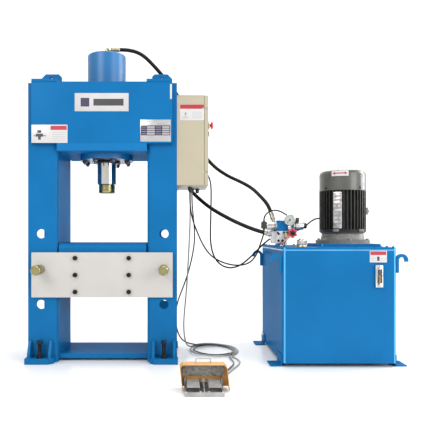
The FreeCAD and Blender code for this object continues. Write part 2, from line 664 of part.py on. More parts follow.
def tank_fittings():
    angles, hooks = [], []
    for side, edge in ((-1, "tank_left"), (1, "tank_right")):
        for near, far in (("-tank_front", "tank_foot_long - tank_front"),
                          ("tank_back - tank_foot_long", "tank_back")):
            tip = f"{edge} + {side} * tank_foot"
            wall = f"{edge} + {side} * tank_foot_wall"
            angle = extruded("tank_angle", "XZ", [
                (edge, "0"), (tip, "0"), (tip, "tank_foot_wall"), (wall, "tank_foot_wall"),
                (wall, "tank_foot"), (edge, "tank_foot")], f"{near} + 20 .. {far} - 20")
            hole = rod("anchor_hole", "Z", "anchor_radius", (f"{edge} + {side} * (tank_foot - 24)",
                                                            f"({near} + {far}) / 2"), "-5 .. 20")
            angles.append(cut("tank_foot_angle", angle, hole))
        for y in ("hook_inset - tank_front", "tank_back - hook_inset"):
            level = "tank_height - hook_drop"
            across = "hook_thick / 2"
            rim = "hook_radius - hook_bar"
            middle = f"{edge} + {side} * hook_radius"
            run = f"{y} - {across} .. {y} + {across}"
            low, high = sorted((edge, f"{edge} + {side} * hook_bar"), key=size)
            stem = block("hook_stem", f"{low} .. {high}", run, f"{level} - hook_stem .. {level}")
            low, high = sorted((f"{edge} + {side} * 2 * hook_radius",
                                f"{edge} + {side} * (2 * hook_radius - hook_bar)"), key=size)
            tip = block("hook_tip", f"{low} .. {high}", run, f"{level} - 8 .. {level}")
            lower = block("hook_lower", f"{middle} - hook_radius - 1 .. {middle} + hook_radius + 1",
                          f"{y} - hook_thick .. {y} + hook_thick", f"{level} - hook_radius - 1 .. {level}")
            ring = cut("hook_arch", rod("hook_ring", "Y", "hook_radius", (middle, level), run),
                       rod("hook_gap", "Y", rim, (middle, level),
                           f"{y} - hook_thick .. {y} + hook_thick"), lower)
            hooks.append(join("hook", stem, ring, tip))
    node("tank_feet", *angles)
    node("tank_hooks", *hooks)
    mid = "tank_height - 136"
    frame = rounded("gauge_plate", block(
        "gauge_block", "gauge_x - 20 .. gauge_x + 20", "-tank_front - 16 .. -tank_front",
        f"{mid} - 58 .. {mid} + 58"), "12", along("y"))
    slot = block("gauge_slot", "gauge_x - 8 .. gauge_x + 8", "-tank_front - 20 .. -tank_front - 6",
                 f"{mid} - 30 .. {mid} + 30")
    glass = block("gauge_glass", "gauge_x - 8 .. gauge_x + 8", "-tank_front - 13 .. -tank_front - 6",
                  f"{mid} - 30 .. {mid} + 30")
    bolts = [turned("gauge_bolt", [("0", "0"), ("10", "0"), ("10", "5"), ("7", "8"), ("0", "8")],
                    "gauge_x", "-tank_front - 16", f"{mid} + {k} * 44", "-Y") for k in (-1, 1)]
    node("level_gauge", cut("gauge_frame", frame, slot), glass, *bolts)


# ---- motor and pump ----

def motor():
    """A flange motor on the lid, its rotor and fan, and the pump that hangs below it in the oil."""
    x, y = "motor_x", "motor_y"
    base = "pad_top"
    shield = "frame_base - pad_top"
    lower = turned("lower_shield", [
        ("shaft_hole", "10"), ("60", "10"), ("60", "0"), ("motor_flange", "0"),
        ("motor_flange", "flange_height"), ("motor_radius - 8", "flange_height + 4"),
        ("motor_radius - 14", f"{shield} - 10"), ("motor_radius - 2", shield),
        ("shaft_hole", shield)], x, y, base)
    upper = turned("upper_shield", [
        ("shaft_hole", "frame_top"), ("motor_radius - cover_wall", "frame_top"),
        ("motor_radius - cover_wall", "frame_top + 10"), ("shaft_radius + 20", "frame_top + 16"),
        ("shaft_hole", "frame_top + 16")], x, y)
    node("motor_shields", lower, upper)
    core = turned("frame_core", [
        ("motor_radius - fin_depth - frame_wall", "frame_base"), ("motor_radius", "frame_base"),
        ("motor_radius", "frame_top"), ("motor_radius - fin_depth - frame_wall", "frame_top")], x, y)
    stator = turned("stator_core", [
        ("rotor_radius + 1", "frame_base + 30"), ("motor_radius - fin_depth - frame_wall", "frame_base + 30"),
        ("motor_radius - fin_depth - frame_wall", "frame_top - 50"), ("rotor_radius + 1", "frame_top - 50")],
        x, y)
    node("motor_frame", finned(core), stator)
    low = "pump_top + 30"
    rotor = turned("rotor_turned", [
        ("0", low), ("shaft_radius", low), ("shaft_radius", "frame_base + 32"),
        ("rotor_radius", "frame_base + 32"), ("rotor_radius", "frame_top - 52"),
        ("shaft_radius", "frame_top - 52"), ("shaft_radius", "frame_top + 60"), ("0", "frame_top + 60")],
        x, y)
    node("motor_shaft", rotor, coupling(x, y))
    fan_and_cover(x, y)
    terminal_box(x, y)
    pump(x, y)


def finned(core):
    """The motor's frame: slots cut into its outside leave the cooling fins."""
    slot = block("fin_slot", "motor_radius - fin_depth .. motor_radius + 5",
                 "-3.1415927 * motor_radius / fin_count * 0.64 .. 3.1415927 * motor_radius / fin_count * 0.64",
                 "frame_base + 14 .. frame_top + 5")
    slots = []
    for k in range(round(size("fin_count"))):
        turn = DOC.addObject("Part::Compound", "fin_slot_turned")
        turn.Links = [slot]
        place(turn, "motor_x", "motor_y", "0",
              Rotation(Vector(0, 0, 1), 360 * k / size("fin_count")))
        slots.append(turn)
    return cut("frame_finned", core, *slots)


def fan_and_cover(x, y):
    hub = turned("fan_hub", [
        ("shaft_radius", "frame_top + 26"), ("34", "frame_top + 26"), ("34", "frame_top + 30"),
        ("motor_radius - 20", "frame_top + 30"), ("motor_radius - 20", "frame_top + 34"),
        ("34", "frame_top + 34"), ("34", "frame_top + 56"), ("shaft_radius", "frame_top + 56")], x, y)
    blades = []
    for k in range(7):
        blade = block("fan_blade", "30 .. motor_radius - 20", "-2 .. 2", "frame_top + 33 .. frame_top + 72")
        turn = DOC.addObject("Part::Compound", "fan_blade_turned")
        turn.Links = [blade]
        place(turn, x, y, "0", Rotation(Vector(0, 0, 1), 360 * k / 7))
        blades.append(turn)
    node("motor_fan", join("fan", hub, *blades))
    cowl = turned("cowl", [
        ("motor_radius - cover_wall", "frame_top"), ("motor_radius", "frame_top"),
        ("motor_radius", "cover_top - 18"), ("motor_radius - 6", "cover_top - 6"),
        ("motor_radius - 18", "cover_top"), ("0", "cover_top"), ("0", "cover_top - cover_wall"),
        ("motor_radius - 19", "cover_top - cover_wall"),
        ("motor_radius - 7.5", "cover_top - 7.5"), ("motor_radius - cover_wall", "cover_top - 19")], x, y)
    slots = []
    for ring, (low, high, count) in enumerate((("22", "50", 12), ("58", "96", 24))):
        for k in range(count):
            slot = block("cowl_slot", f"{low} .. {high}", "-4 .. 4", "cover_top - 10 .. cover_top + 5")
            turn = DOC.addObject("Part::Compound", "cowl_slot_turned")
            turn.Links = [slot]
            place(turn, x, y, "0", Rotation(Vector(0, 0, 1), 360 * k / count))
            slots.append(turn)
    node("fan_cover", cut("cowl_pierced", cowl, *slots))


def terminal_box(x, y):
    """The box for the motor's leads, on the rear of its frame, with a gland on the left."""
    back = "motor_y + motor_radius"
    housing = rounded("terminal_housing", block(
        "terminal_block", "motor_x - 52 .. motor_x + 52", f"{back} - 8 .. {back} + 34",
        "frame_base + 26 .. frame_base + 136"), "6", along("y"))
    lid = rounded("terminal_lid", block(
        "terminal_lid_block", "motor_x - 54 .. motor_x + 54", f"{back} + 34 .. {back} + 46",
        "frame_base + 24 .. frame_base + 138"), "8", along("y"))
    frame = rod("frame_room", "Z", "motor_radius + running_fit", (x, y), "frame_base - 5 .. frame_top + 5")
    entry = gland("terminal_gland", "-X", "motor_x - 52", f"{back} + 20", "frame_base + 83")
    node("terminal_box", join("terminal_full", cut("terminal_seat", housing, frame), lid, entry))


def pump(x, y):
    """The bell under the lid, and the gear pump with its strainer."""
    bell = turned("bell", [
        ("pump_radius + 10", "tank_height - 12"), ("pump_radius + 30", "tank_height - 12"),
        ("pump_radius + 30", "tank_height"), ("pump_radius - 4", "tank_height"),
        ("pump_radius - 4", "pump_top"), ("pump_radius + 10", "pump_top")], x, y)
    body = turned("pump_body", [
        ("10", "pump_top"), ("pump_radius + 10", "pump_top"), ("pump_radius + 10", "pump_top - 12"),
        ("pump_radius", "pump_top - 12"), ("pump_radius", "pump_top - pump_height"),
        ("0", "pump_top - pump_height"), ("0", "pump_top - 60"), ("10", "pump_top - 60")], x, y)
    suction = rod("suction_pipe", "Z", "14", ("motor_x - 25", y),
                  "tank_lift + tank_wall + 130 .. pump_top - pump_height + 1")
    strainer = rod("strainer", "Z", "38", ("motor_x - 25", y),
                   "tank_lift + tank_wall + 40 .. tank_lift + tank_wall + 130.5")
    node("pump", join("pump_full", bell, body, suction, strainer))


def coupling(x, y):
    """The sleeve from the motor's shaft down to the pump's."""
    return turned("coupling_sleeve", [
        ("0", "pump_top - 55"), ("10 - running_fit", "pump_top - 55"), ("10 - running_fit", "pump_top + 6"),
        ("pump_radius - 14", "pump_top + 6"), ("pump_radius - 14", "pump_top + 86"),
        ("shaft_radius", "pump_top + 86"), ("shaft_radius", "pump_top + 30"), ("0", "pump_top + 30")],
        x, y)


# ---- valves ----

def valves():
    """The manifold on its stand, with the solenoid valve, relief valve, gauge and fittings."""
    front = block("block_front_part", "block_left + block_step .. block_right",
                  "-block_front .. -block_rear - 40", "block_bottom .. block_top")
    rear = block("block_rear_part", "block_left .. block_right", "-block_rear - 41 .. -block_rear",
                 "block_bottom .. block_top")
    node("manifold", join("block_whole", front, rear))
    low, high = "-valve_y - valve_depth / 2", "valve_depth / 2 - valve_y"
    body = rounded("valve_edged", block("valve_body", "valve_left .. valve_right", f"{low} .. {high}",
                                        "block_top .. valve_top"), "3", along("y"))
    node("directional_valve", body)
    sets = []
    plug_places = ("valve_left - solenoid_length - 12", "valve_right + 15")
    for side, edge, middle, rise in ((-1, "valve_left", plug_places[0], "0"),
                                     (1, "valve_right", plug_places[1], "35")):
        tube = turned("solenoid", [
            ("0", "0"), ("solenoid_radius", "0"), ("solenoid_radius", "solenoid_length"),
            ("14", "solenoid_length + 2"), ("14", "solenoid_length + 14"), ("9", "solenoid_length + 18"),
            ("0", "solenoid_length + 18")], edge, "-valve_y", "solenoid_z", "X" if side > 0 else "-X")
        plug = rounded("plug_edged", block(
            "plug_block", f"{middle} - plug_size / 2 .. {middle} + plug_size / 2",
            "-valve_y - 24 .. -valve_y + 10", f"solenoid_z - 14 + {rise} .. solenoid_z + 22 + {rise} / 1.6"),
            "4", along("y"))
        sets.append(join("solenoid_set", tube, plug))
    node("solenoids", *sets)
    relief_and_gauge()


def relief_and_gauge():
    """The relief valve with its red wheel, and the pressure gauge on a riser."""
    face, hub = "-relief_front", ("wheel_x", "wheel_height")
    riser_y = "-relief_front + 9"
    relief = block("relief_block", "block_right .. block_right + relief_width",
                   f"{face} .. -valve_y + 18", "wheel_height - 24 .. block_top")
    stem = rod("relief_stem", "Y", "7", hub, f"{face} - 30 .. {face} + 1")
    nut = hexagon("relief_nut", "Y", "22", hub, f"{face} - 12 .. {face} + 1")
    riser = rod("gauge_riser", "Z", "6", ("dial_x", riser_y),
                "block_top - 1 .. gauge_height - gauge_radius + 4")
    back = f"{riser_y} + gauge_depth / 2"
    room = rod("gauge_room", "Y", "gauge_radius - 3", ("dial_x", "gauge_height"), f"{face} - 5 .. {back}")
    node("relief_valve", join("relief", relief, stem, nut, cut("riser_end", riser, room)))
    core = rod("wheel_hub", "Y", "11", hub, f"{face} - 44 .. {face} - 24")
    disc = rod("wheel_disc", "Y", "wheel_radius - 6", hub, f"{face} - 42 .. {face} - 30")
    lobes = [rod("wheel_lobe", "Y", "8", (f"wheel_x + (wheel_radius - 7) * cos({60 * k + 30})",
                                          f"wheel_height + (wheel_radius - 7) * sin({60 * k + 30})"),
                 f"{face} - 42 .. {face} - 30") for k in range(6)]
    bore = rod("wheel_bore", "Y", "7 + running_fit", hub, f"{face} - 30.5 .. {face}")
    node("handwheel", cut("wheel", join("wheel_solid", core, disc, *lobes), bore))
    case = turned("case", [
        ("0", "0"), ("gauge_radius - 3", "0"), ("gauge_radius - 3", "3"), ("gauge_radius", "4"),
        ("gauge_radius", "gauge_depth"), ("gauge_radius - 4", "gauge_depth"),
        ("gauge_radius - 4", "gauge_depth - 6"), ("2.5", "gauge_depth - 6"),
        ("2.5", "gauge_depth - 1.5"), ("0", "gauge_depth - 1.5")], "dial_x", back, "gauge_height", "-Y")
    bushing = rod("riser_room", "Z", "6", ("dial_x", riser_y), "block_top .. gauge_height - gauge_radius + 4")
    node("gauge_case", cut("case_on_riser", case, bushing))
    arm = block("pointer_arm", "-1 .. 1", "-7 .. gauge_radius - 9", "gauge_depth - 4 .. gauge_depth - 3")
    boss = rod("pointer_boss", "Z", "5", ("0", "0"), "gauge_depth - 4 .. gauge_depth - 2.5")
    bore = rod("pointer_bore", "Z", "2.5 + running_fit", ("0", "0"), "gauge_depth - 6 .. gauge_depth")
    pointer = cut("pointer", join("pointer_solid", arm, boss), bore)
    place(pointer, "dial_x", back, "gauge_height", Rotation(Vector(0, 1, 0), -135) * POINTING["-Y"])
    node("gauge_pointer", pointer)


def fittings():
    """Elbows, hexagons and crimped ferrules at both ends of the two hoses."""
    pieces = []
    pieces.append(pipe_elbow("top_elbow", ("0", "0", "tube_height"), "Z", "40", "X", "30", "11"))
    pieces.append(ferrule("top_ferrule", "X", ("30", "0", "tube_height + 40"), "hose_a", "45"))
    port = "head_base + 48"
    pieces.append(pipe_elbow("rear_elbow", ("0", "tube_radius", port), "Y", "154", "X", "30", "12"))
    pieces.append(ferrule("rear_ferrule", "X", ("30", "tube_radius + 154", port), "hose_b", "40"))
    spot = ("block_left + 13", "-block_rear - 20")
    corner = "block_top + 62"
    ball = DOC.addObject("Part::Sphere", "riser_a_corner")
    bind(ball, "Radius", "9")
    place(ball, *spot, corner)
    pieces.append(join("riser_a", rod("riser_a_pipe", "Z", "9", spot, f"block_top .. {corner}"),
                       hexagon("riser_a_nut", "Z", "27", spot, "block_top + 22 .. block_top + 50"), ball,
                       ferrule("riser_a_ferrule", "LEAN", (*spot, corner), "hose_a", "46")))
    y, z = "-block_rear - 24", "block_top - 14"
    elbow = DOC.addObject("Part::Sphere", "inlet_b_corner")
    bind(elbow, "Radius", "13")
    place(elbow, "block_left - 18", y, z)
    pieces.append(join("inlet_b", hexagon("inlet_b_nut", "X", "30", (y, z), "block_left - 18 .. block_left"),
                       elbow, ferrule("inlet_b_ferrule", "REACH", ("block_left - 18", y, z), "hose_b", "26")))
    pieces.append(rod("return_pipe_upright", "Z", "7", ("block_right + 8", "-valve_y - 10"),
                      "tank_height - 40 .. wheel_height - 24"))
    node("hose_fittings", *pieces)


def ferrule(name, pointing, base, hose, length):
    """A crimped sleeve that begins at base and ends face to face with the hose."""
    return turned(name, [
        ("0", "0"), (f"{hose} / 2 - 1", "0"), (f"{hose} / 2 + 3", "4"), (f"{hose} / 2 + 3", f"{length} - 3"),
        (f"{hose} / 2 + 1", length), ("0", length)], *base, pointing)


def pipe_elbow(name, base, rise_axis, rise, run_axis, run, radius):
    """A round elbow: a rise from its base, a ball at the corner, and a run to its end."""
    x, y, z = base
    spot = {"x": x, "y": y, "z": z}
    axis = rise_axis.lower()
    up = rod(f"{name}_rise", rise_axis, radius, [spot[a] for a in ACROSS[rise_axis]],
             f"{spot[axis]} .. {spot[axis]} + {rise}")
    spot[axis] = f"{spot[axis]} + {rise}"
    ball = DOC.addObject("Part::Sphere", f"{name}_corner")
    bind(ball, "Radius", radius)
    place(ball, spot["x"], spot["y"], spot["z"])
    axis = run_axis.lower()
    out = rod(f"{name}_run", run_axis, radius, [spot[a] for a in ACROSS[run_axis]],
              f"{spot[axis]} .. {spot[axis]} + {run}")
    return join(name, up, ball, out)


# ---- foot switch ----

def foot_switch():
    """A tray with two sprung treads under a folded hood with a wire handle."""
    left, right = "pedal_x - pedal_width / 2", "pedal_x + pedal_width / 2"
    front, back = "-pedal_front", "hood_back"
    tray = block("tray_outside", f"{left} .. {right}", f"{front} .. {back}", "0 .. pedal_height")
    hollow = block("tray_inside", f"{left} + 6 .. {right} - 6", f"{front} + 8 .. {back} - 6",
                   "6 .. pedal_height + 5")
    divider = extruded("tray_divider", "YZ", [
        (f"{front} + 6", "5"), (f"{front} + 6", "pedal_height"), ("pivot_y - 40", "36"),
        ("pivot_y - 10", "36"), ("pivot_y - 10", "5")], "pedal_x - 2 .. pedal_x + 2")
    cheeks = [block("cheek", f"{low} .. {high}", "pivot_y - 12 .. hood_back", "5 .. 48") for low, high in
              ((left, f"{left} + 7"), (f"{right} - 7", right), ("pedal_x - 7", "pedal_x + 7"))]
    pin = rod("tread_pin", "X", "4", ("pivot_y", "tread_top - 9"), f"{left} + 3 .. {right} - 3")
    base = cut("tray", join("tray_full", cut("tray_open", tray, hollow), divider, *cheeks, pin),
               *gland_holes("tray"))
    node("pedal_base", base)
    for label, side in (("left_pedal", -1), ("right_pedal", 1)):
        middle = f"pedal_x + {side} * tread_x"
        tip = "pivot_y + 8 - tread_length"
        plate = extruded(f"{label}_plate", "YZ", [
            ("pivot_y + 8", "tread_top"), (tip, "tread_top - 4"), (tip, "tread_top - 16"),
            (f"{tip} + 4", "tread_top - 16"), (f"{tip} + 4", "tread_top - 9"),
            ("pivot_y - 8", "tread_top - 6"), ("pivot_y - 8", "tread_top - 16"),
            ("pivot_y + 8", "tread_top - 16")],
            f"{middle} - tread_width / 2 .. {middle} + tread_width / 2")
        bore = rod(f"{label}_bore", "X", "4 + running_fit", ("pivot_y", "tread_top - 9"),
                   f"{middle} - tread_width .. {middle} + tread_width")
        node(label, cut(f"{label}_bored", plate, bore))
    hood()


def pedal_gland_spots():
    return [("pedal_x + 48", "16"), ("pedal_x + 74", "16")]


def gland_holes(name):
    """Room for the glands' threads in the tray's rear wall and in the hood's back."""
    return [rod(f"{name}_gland_hole", "Y", "gland_radius - 3", spot, "hood_back - 12 .. hood_back + 8")
            for spot in pedal_gland_spots()]


def hood():
    """Sheet bent over the treads: a back, a short top and two flared sides."""
    half, flare, wall = "hood_half", "hood_half + hood_flare", "hood_wall"
    profile = [
        (f"pedal_x - {flare}", "6"), (f"pedal_x - {half}", "hood_top - 14"),
        (f"pedal_x - {half} + 12", "hood_top"), (f"pedal_x + {half} - 12", "hood_top"),
        (f"pedal_x + {half}", "hood_top - 14"), (f"pedal_x + {flare}", "6")]
    hollow = [
        (f"pedal_x - {flare} + {wall}", "5"), (f"pedal_x - {half} + {wall}", f"hood_top - 14"),
        (f"pedal_x - {half} + 13", f"hood_top - {wall}"), (f"pedal_x + {half} - 13", f"hood_top - {wall}"),
        (f"pedal_x + {half} - {wall}", "hood_top - 14"), (f"pedal_x + {flare} - {wall}", "5")]
    back = "hood_back + hood_wall"
    shell = cut("hood_shell", extruded("hood_outside", "XZ", profile, f"hood_back - 90 .. {back}"),
                extruded("hood_hollow", "XZ", hollow, f"hood_back - 95 .. hood_back"))
    slope = extruded("hood_slope", "YZ", [
        ("hood_back - 100", "0"), ("hood_back - 100", "hood_top + 5"),
        ("hood_back - hood_depth - 7", "hood_top + 5"), ("hood_back - hood_depth - 14", "34"),
        ("hood_back - 82", "20"), ("hood_back - 82", "0")], "pedal_x - 200 .. pedal_x + 200")
    handle_half, wire = 33, "1.8"
    posts = [rod("handle_post", "Z", wire, (f"pedal_x + {side * handle_half}", "hood_back - 8"),
                 "hood_top - 1 .. hood_top + 16") for side in (-1, 1)]
    bar = rod("handle_bar", "X", wire, ("hood_back - 8", "hood_top + 16"),
              f"pedal_x - {handle_half} .. pedal_x + {handle_half}")
    balls = []
    for side in (-1, 1):
        ball = DOC.addObject("Part::Sphere", "handle_corner")
        bind(ball, "Radius", wire)
        place(ball, f"pedal_x + {side * handle_half}", "hood_back - 8", "hood_top + 16")
        balls.append(ball)
    glands = [gland("pedal_gland", "Y", x, back, z) for x, z in pedal_gland_spots()]
    sheet = cut("hood_sloped", shell, slope, *gland_holes("hood"))
    node("pedal_guard", join("hood_full", sheet, *posts, bar, *balls), *glands)


# ---- hoses and cables ----

# Points chosen along each route, in press coordinates; a route's first and last points lie on the
# faces that it leaves and enters.
HOSE_A = [
    (75, 0, 1740), (131, 0, 1740), (204, 6, 1715), (270, 36, 1656), (345, 88, 1583),
    (415, 155, 1503), (468, 208, 1395), (515, 235, 1280), (560, 236, 1180), (622, 212, 1100),
    (702, 168, 1038), (774, 118, 999), (836, 75, 959), (874, 11, 909), (902.5, -37, 866.7),
    (915.9, -59.5, 836.5), (923.35, -72.04, 807.99),
]
HOSE_B = [
    (70, 262, 1220), (125, 262, 1220), (190, 264, 1207), (290, 262, 1165), (380, 250, 1095),
    (440, 222, 1016), (492, 182, 940), (545, 130, 885), (600, 84, 838), (664, 44, 797),
    (728, 6, 761), (786, -32, 733), (841, -64, 709.5), (880.38, -83.08, 697.76),
]
VALVE_LEAD = [
    (472, -60, 926), (472, -60, 868), (478, -60, 810), (491, -61, 756), (511, -64, 704),
    (541, -70, 634), (578, -76, 577), (630, -82, 539), (698, -92, 517), (752, -102, 515),
    (797, -112, 528), (828, -122, 560), (846, -131, 602), (858, -137, 643), (869, -140, 675),
    (874, -140, 699), (874, -140, 719.5),
]
JUMPER = [
    (874, -140, 755.5), (874, -140, 768), (878, -139, 784), (888, -137, 799), (904, -134, 811),
    (925, -131, 818), (948, -129, 818), (970, -128, 811), (990, -128, 799), (1008, -128, 788),
    (1039, -128, 768),
]
MOTOR_LEAD = [
    (529, 191, 1090), (529, 219, 1090), (538, 246, 1089), (557, 268, 1084), (580, 277, 1068),
    (597, 274, 1044), (606, 262, 1012), (609, 238, 966), (607, 206, 906), (604, 174, 850),
    (601, 142, 785), (597, 112, 715), (596, 90, 648), (604, 74, 588), (624, 60, 540),
    (655, 50, 508), (692, 38, 493), (730, 28, 495), (768, 18, 512), (806, 8, 543),
    (850, 0, 588), (893, -6, 634), (944, -12, 672), (1006, -12, 694), (1058, 0, 703),
    (1090, 22, 709), (1116, 50, 716), (1144.5, 85.5, 728), (1169, 117, 743), (1191, 143, 758),
    (1215, 161, 772), (1242, 169, 783), (1272, 169, 783),
]
PEDAL_LEAD = [
    (475, -22, 926), (475, -22, 866), (475, -20, 800), (473, -16, 716), (469, -8, 630),
    (465, 4, 545), (460, 18, 455), (455, 34, 370), (448, 50, 290), (441, 64, 214),
    (439, 76, 150), (442, 88, 98), (448, 98, 60), (457, 106, 30), (467, 110, 14),
]
SECOND_LEAD = [
    (486, 22, 926), (486, 22, 868), (492, 34, 806), (499, 48, 742), (503, 62, 676),
    (498, 78, 607), (483, 92, 528), (462, 106, 446), (432, 120, 364), (406, 130, 296),
    (392, 138, 232), (391, 142, 170), (401, 144, 112), (418, 144, 66), (442, 142, 32),
    (470, 140, 14),
]
PEDAL_TAIL = [
    (697, -58, 7), (716, -88, 5), (732, -128, 5), (738, -182, 5), (730, -240, 5),
    (708, -300, 5), (682, -362, 5), (656, -430, 5), (628, -504, 5), (604, -558, 8),
    (592, -600, 15), (592, -641, 16),
]
SECOND_TAIL = [
    (672, -74, 7), (692, -108, 5), (704, -156, 5), (704, -212, 5), (692, -272, 5),
    (670, -336, 5), (644, -404, 5), (618, -474, 5), (590, -538, 7), (572, -588, 14),
    (566, -614, 16), (566, -641, 16),
]


def route(points):
    """Straight runs joined by arcs, each as large as its two runs allow."""
    spots = [Vector(*p) for p in points]
    edges, start, radii = [], spots[0], []
    for before, here, after in zip(spots, spots[1:], spots[2:]):
        back, ahead = (before - here).normalize(), (after - here).normalize()
        half_turn = (math.pi - back.getAngle(ahead)) / 2
        shorter = min(here.distanceToPoint(before), here.distanceToPoint(after))
        reach = 0.45 * shorter
        radius = reach / math.tan(half_turn)
        centre = here + (back + ahead).normalize() * (radius / math.cos(half_turn))
        first, last = here + back * reach, here + ahead * reach
        middle = centre + (here - centre).normalize() * radius
        edges += [Part.LineSegment(start, first).toShape(), Part.Arc(first, middle, last).toShape()]
        radii.append(radius)
        start = last
    edges.append(Part.LineSegment(start, spots[-1]).toShape())
    return Part.Wire(edges), radii


def cord(label, points, diameter):
    """A round tube along a route, checked against its section times its length."""
    thick = size(diameter)
    path, radii = route(points)
    spots = [Vector(*p) for p in points[:2]]
    circle = Part.makeCircle(thick / 2, spots[0], spots[1] - spots[0])
    tube = path.makePipeShell([Part.Wire(circle)], True, True)
    if tube.Volume < 0:
        tube.reverse()
    wanted = math.pi * thick ** 2 / 4 * path.Length
    if abs(tube.Volume - wanted) > 0.01 * wanted:
        raise RuntimeError(f"{label}: volume {tube.Volume:.0f}, wanted {wanted:.0f}")
    print(f"{label}: {path.Length:.0f} long, smallest radius {min(radii):.0f}"
          f" = {min(radii) / thick:.1f} diameters")
    item = DOC.addObject("Part::Feature", f"{label}_tube")
    item.Shape = tube
    return item


def cable_coil():
    """The outer shape of the two leads' loose turns on the floor: an oval ring."""
    wide, deep, band = size("coil_wide"), size("coil_deep"), size("coil_band")
    middle = Vector(size("coil_x"), size("coil_y"), 0)
    rings = []
    for trim in (0, band):
        major = middle + Vector(0, deep - trim, 0)
        oval = Part.Ellipse(major, middle + Vector(wide - trim, 0, 0), middle)
        face = Part.Face(Part.Wire(oval.toShape()))
        rings.append(face.extrude(Vector(0, 0, size("coil_height"))))
    item = DOC.addObject("Part::Feature", "coil_ring")
    item.Shape = rings[0].cut(rings[1])
    node("cable_coil", item)


def cords():
    node("hose_to_top", cord("hose_to_top", HOSE_A, "hose_a"))
    node("hose_to_rear", cord("hose_to_rear", HOSE_B, "hose_b"))
    node("valve_lead", cord("valve_lead", VALVE_LEAD, "lead"))
    node("jumper_lead", cord("jumper_lead", JUMPER, "lead"))
    node("motor_cable", cord("motor_cable", MOTOR_LEAD, "motor_lead"))
    node("pedal_lead", cord("pedal_lead", PEDAL_LEAD, "lead"), cord("pedal_tail", PEDAL_TAIL, "lead"))
    node("second_lead", cord("second_lead", SECOND_LEAD, "lead"),
         cord("second_tail", SECOND_TAIL, "lead"))
    cable_coil()


def check_and_write():
    """Stop on any failed feature or bad shape, then write one file for each sub-part."""
    DOC.recompute()
    for item in DOC.Objects:
        if "Invalid" in item.State or "Error" in item.State:
            raise RuntimeError(f"{item.Name} failed: {item.State}")
    for item in NODES:
        if item.Shape.isNull() or not item.Shape.isValid() or not item.Shape.Solids:
            raise RuntimeError(f"{item.Label} has no valid solid")
    os.makedirs("parts", exist_ok=True)
    for item in NODES:
        item.Shape.exportStep(f"parts/{item.Label}.step")
    print(f"{len(NODES)} sub-parts, {sum(len(i.Shape.Solids) for i in NODES)} solids")


def main():
    fill_sheet()
    column("left_column", -1)
    column("right_column", 1)
    head()
    lifting_lugs()
    bottom_rail()
    feet()
    cylinder()
    ram()
    table()
    table_pin("left_pin", -1)
    table_pin("right_pin", 1)
    control_box()
    control_door()
    cable_glands()
    tank()
    motor()
    valves()
    fittings()
    foot_switch()
    cords()
    check_and_write()


main()
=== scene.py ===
"""Hydraulic press with its power unit.

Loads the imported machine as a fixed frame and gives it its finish: enamels, plated steel, hoses and
cables, welds, screws, plates, gauges and the foot switch. Lengths in the code are in millimetres from
the floor under the ram, and are turned into the frame's metres by at().
"""
import math

import bmesh
import bpy
from bpy.props import FloatProperty, FloatVectorProperty, PointerProperty
from mathutils import Matrix, Vector


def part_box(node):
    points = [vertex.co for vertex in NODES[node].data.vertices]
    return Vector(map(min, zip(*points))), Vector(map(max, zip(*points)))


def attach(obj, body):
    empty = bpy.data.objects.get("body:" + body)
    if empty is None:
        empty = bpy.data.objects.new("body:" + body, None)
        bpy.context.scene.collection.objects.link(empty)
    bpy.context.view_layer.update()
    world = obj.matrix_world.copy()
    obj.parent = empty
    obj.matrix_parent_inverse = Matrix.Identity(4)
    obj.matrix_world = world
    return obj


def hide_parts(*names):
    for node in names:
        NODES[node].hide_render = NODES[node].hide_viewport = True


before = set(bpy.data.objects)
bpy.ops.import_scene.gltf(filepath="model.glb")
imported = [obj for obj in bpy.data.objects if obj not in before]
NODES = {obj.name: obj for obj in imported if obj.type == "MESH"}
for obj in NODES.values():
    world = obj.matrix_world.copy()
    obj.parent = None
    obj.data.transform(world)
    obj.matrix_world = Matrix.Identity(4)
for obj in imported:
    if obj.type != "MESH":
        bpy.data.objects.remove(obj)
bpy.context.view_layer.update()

bl_info = {
    "name": "Hydraulic press",
    "version": (1, 0, 0),
    "blender": (4, 5, 0),
    "location": "View3D > Sidebar > Press",
    "description": "Builds the finish and the small parts of a hydraulic press around its packed frame",
    "category": "Add Mesh",
}

MM = 0.001
AXIS = [(a + b) / 2 for a, b in zip(*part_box("ram_rod"))]
FINISH = {}
SHARP = math.radians(38)
UP, FRONT = (0, 0, 1), (0, -1, 0)

# Places on the press, in the millimetres of the code.
HEAD_FRONT = -215
STOP = (574, -125, 1283)
START = (574, -125, 1238)
DIAL = (1008, -156, 764)
WHEEL = (1015, 693)
FILLER = (1070, -188)
MOTOR = (1350, 20)
COIL_X, COIL_Y = 617, 98


def millimetres(length):
    """A size from the panel, in the millimetres of the code."""
    return round(length / MM, 3)


def at(x, y, z):
    """A place in millimetres, right, rear and up from the floor under the ram, in the frame."""
    return Vector((AXIS[0] + x * MM, AXIS[1] + y * MM, z * MM))


def around(count, radius, first=0.0, centre=(0, 0)):
    """Pairs round a circle about a centre, the first at an angle in degrees."""
    angles = [math.radians(first + 360 / count * k) for k in range(count)]
    return [(centre[0] + radius * math.cos(a), centre[1] + radius * math.sin(a)) for a in angles]


# ---------------------------------------------------------------- meshes

def verts_edges(verts):
    """The edges whose two ends are both in verts."""
    chosen = set(verts)
    return list({e for v in verts for e in v.link_edges if e.other_vert(v) in chosen})


def soften(bm, edges, width, steps=2):
    """Rounds edges by a width in millimetres."""
    bmesh.ops.bevel(bm, geom=list(edges), offset=width * MM, segments=steps, profile=0.5,
                    affect="EDGES", material=-1, clamp_overlap=True)


def coat(bm, index):
    """Gives every face made since the last call the piece's finish of that number."""
    done = bm.faces.layers.int.get("coated") or bm.faces.layers.int.new("coated")
    for face in bm.faces:
        if not face[done]:
            face.material_index = index
            face[done] = 1


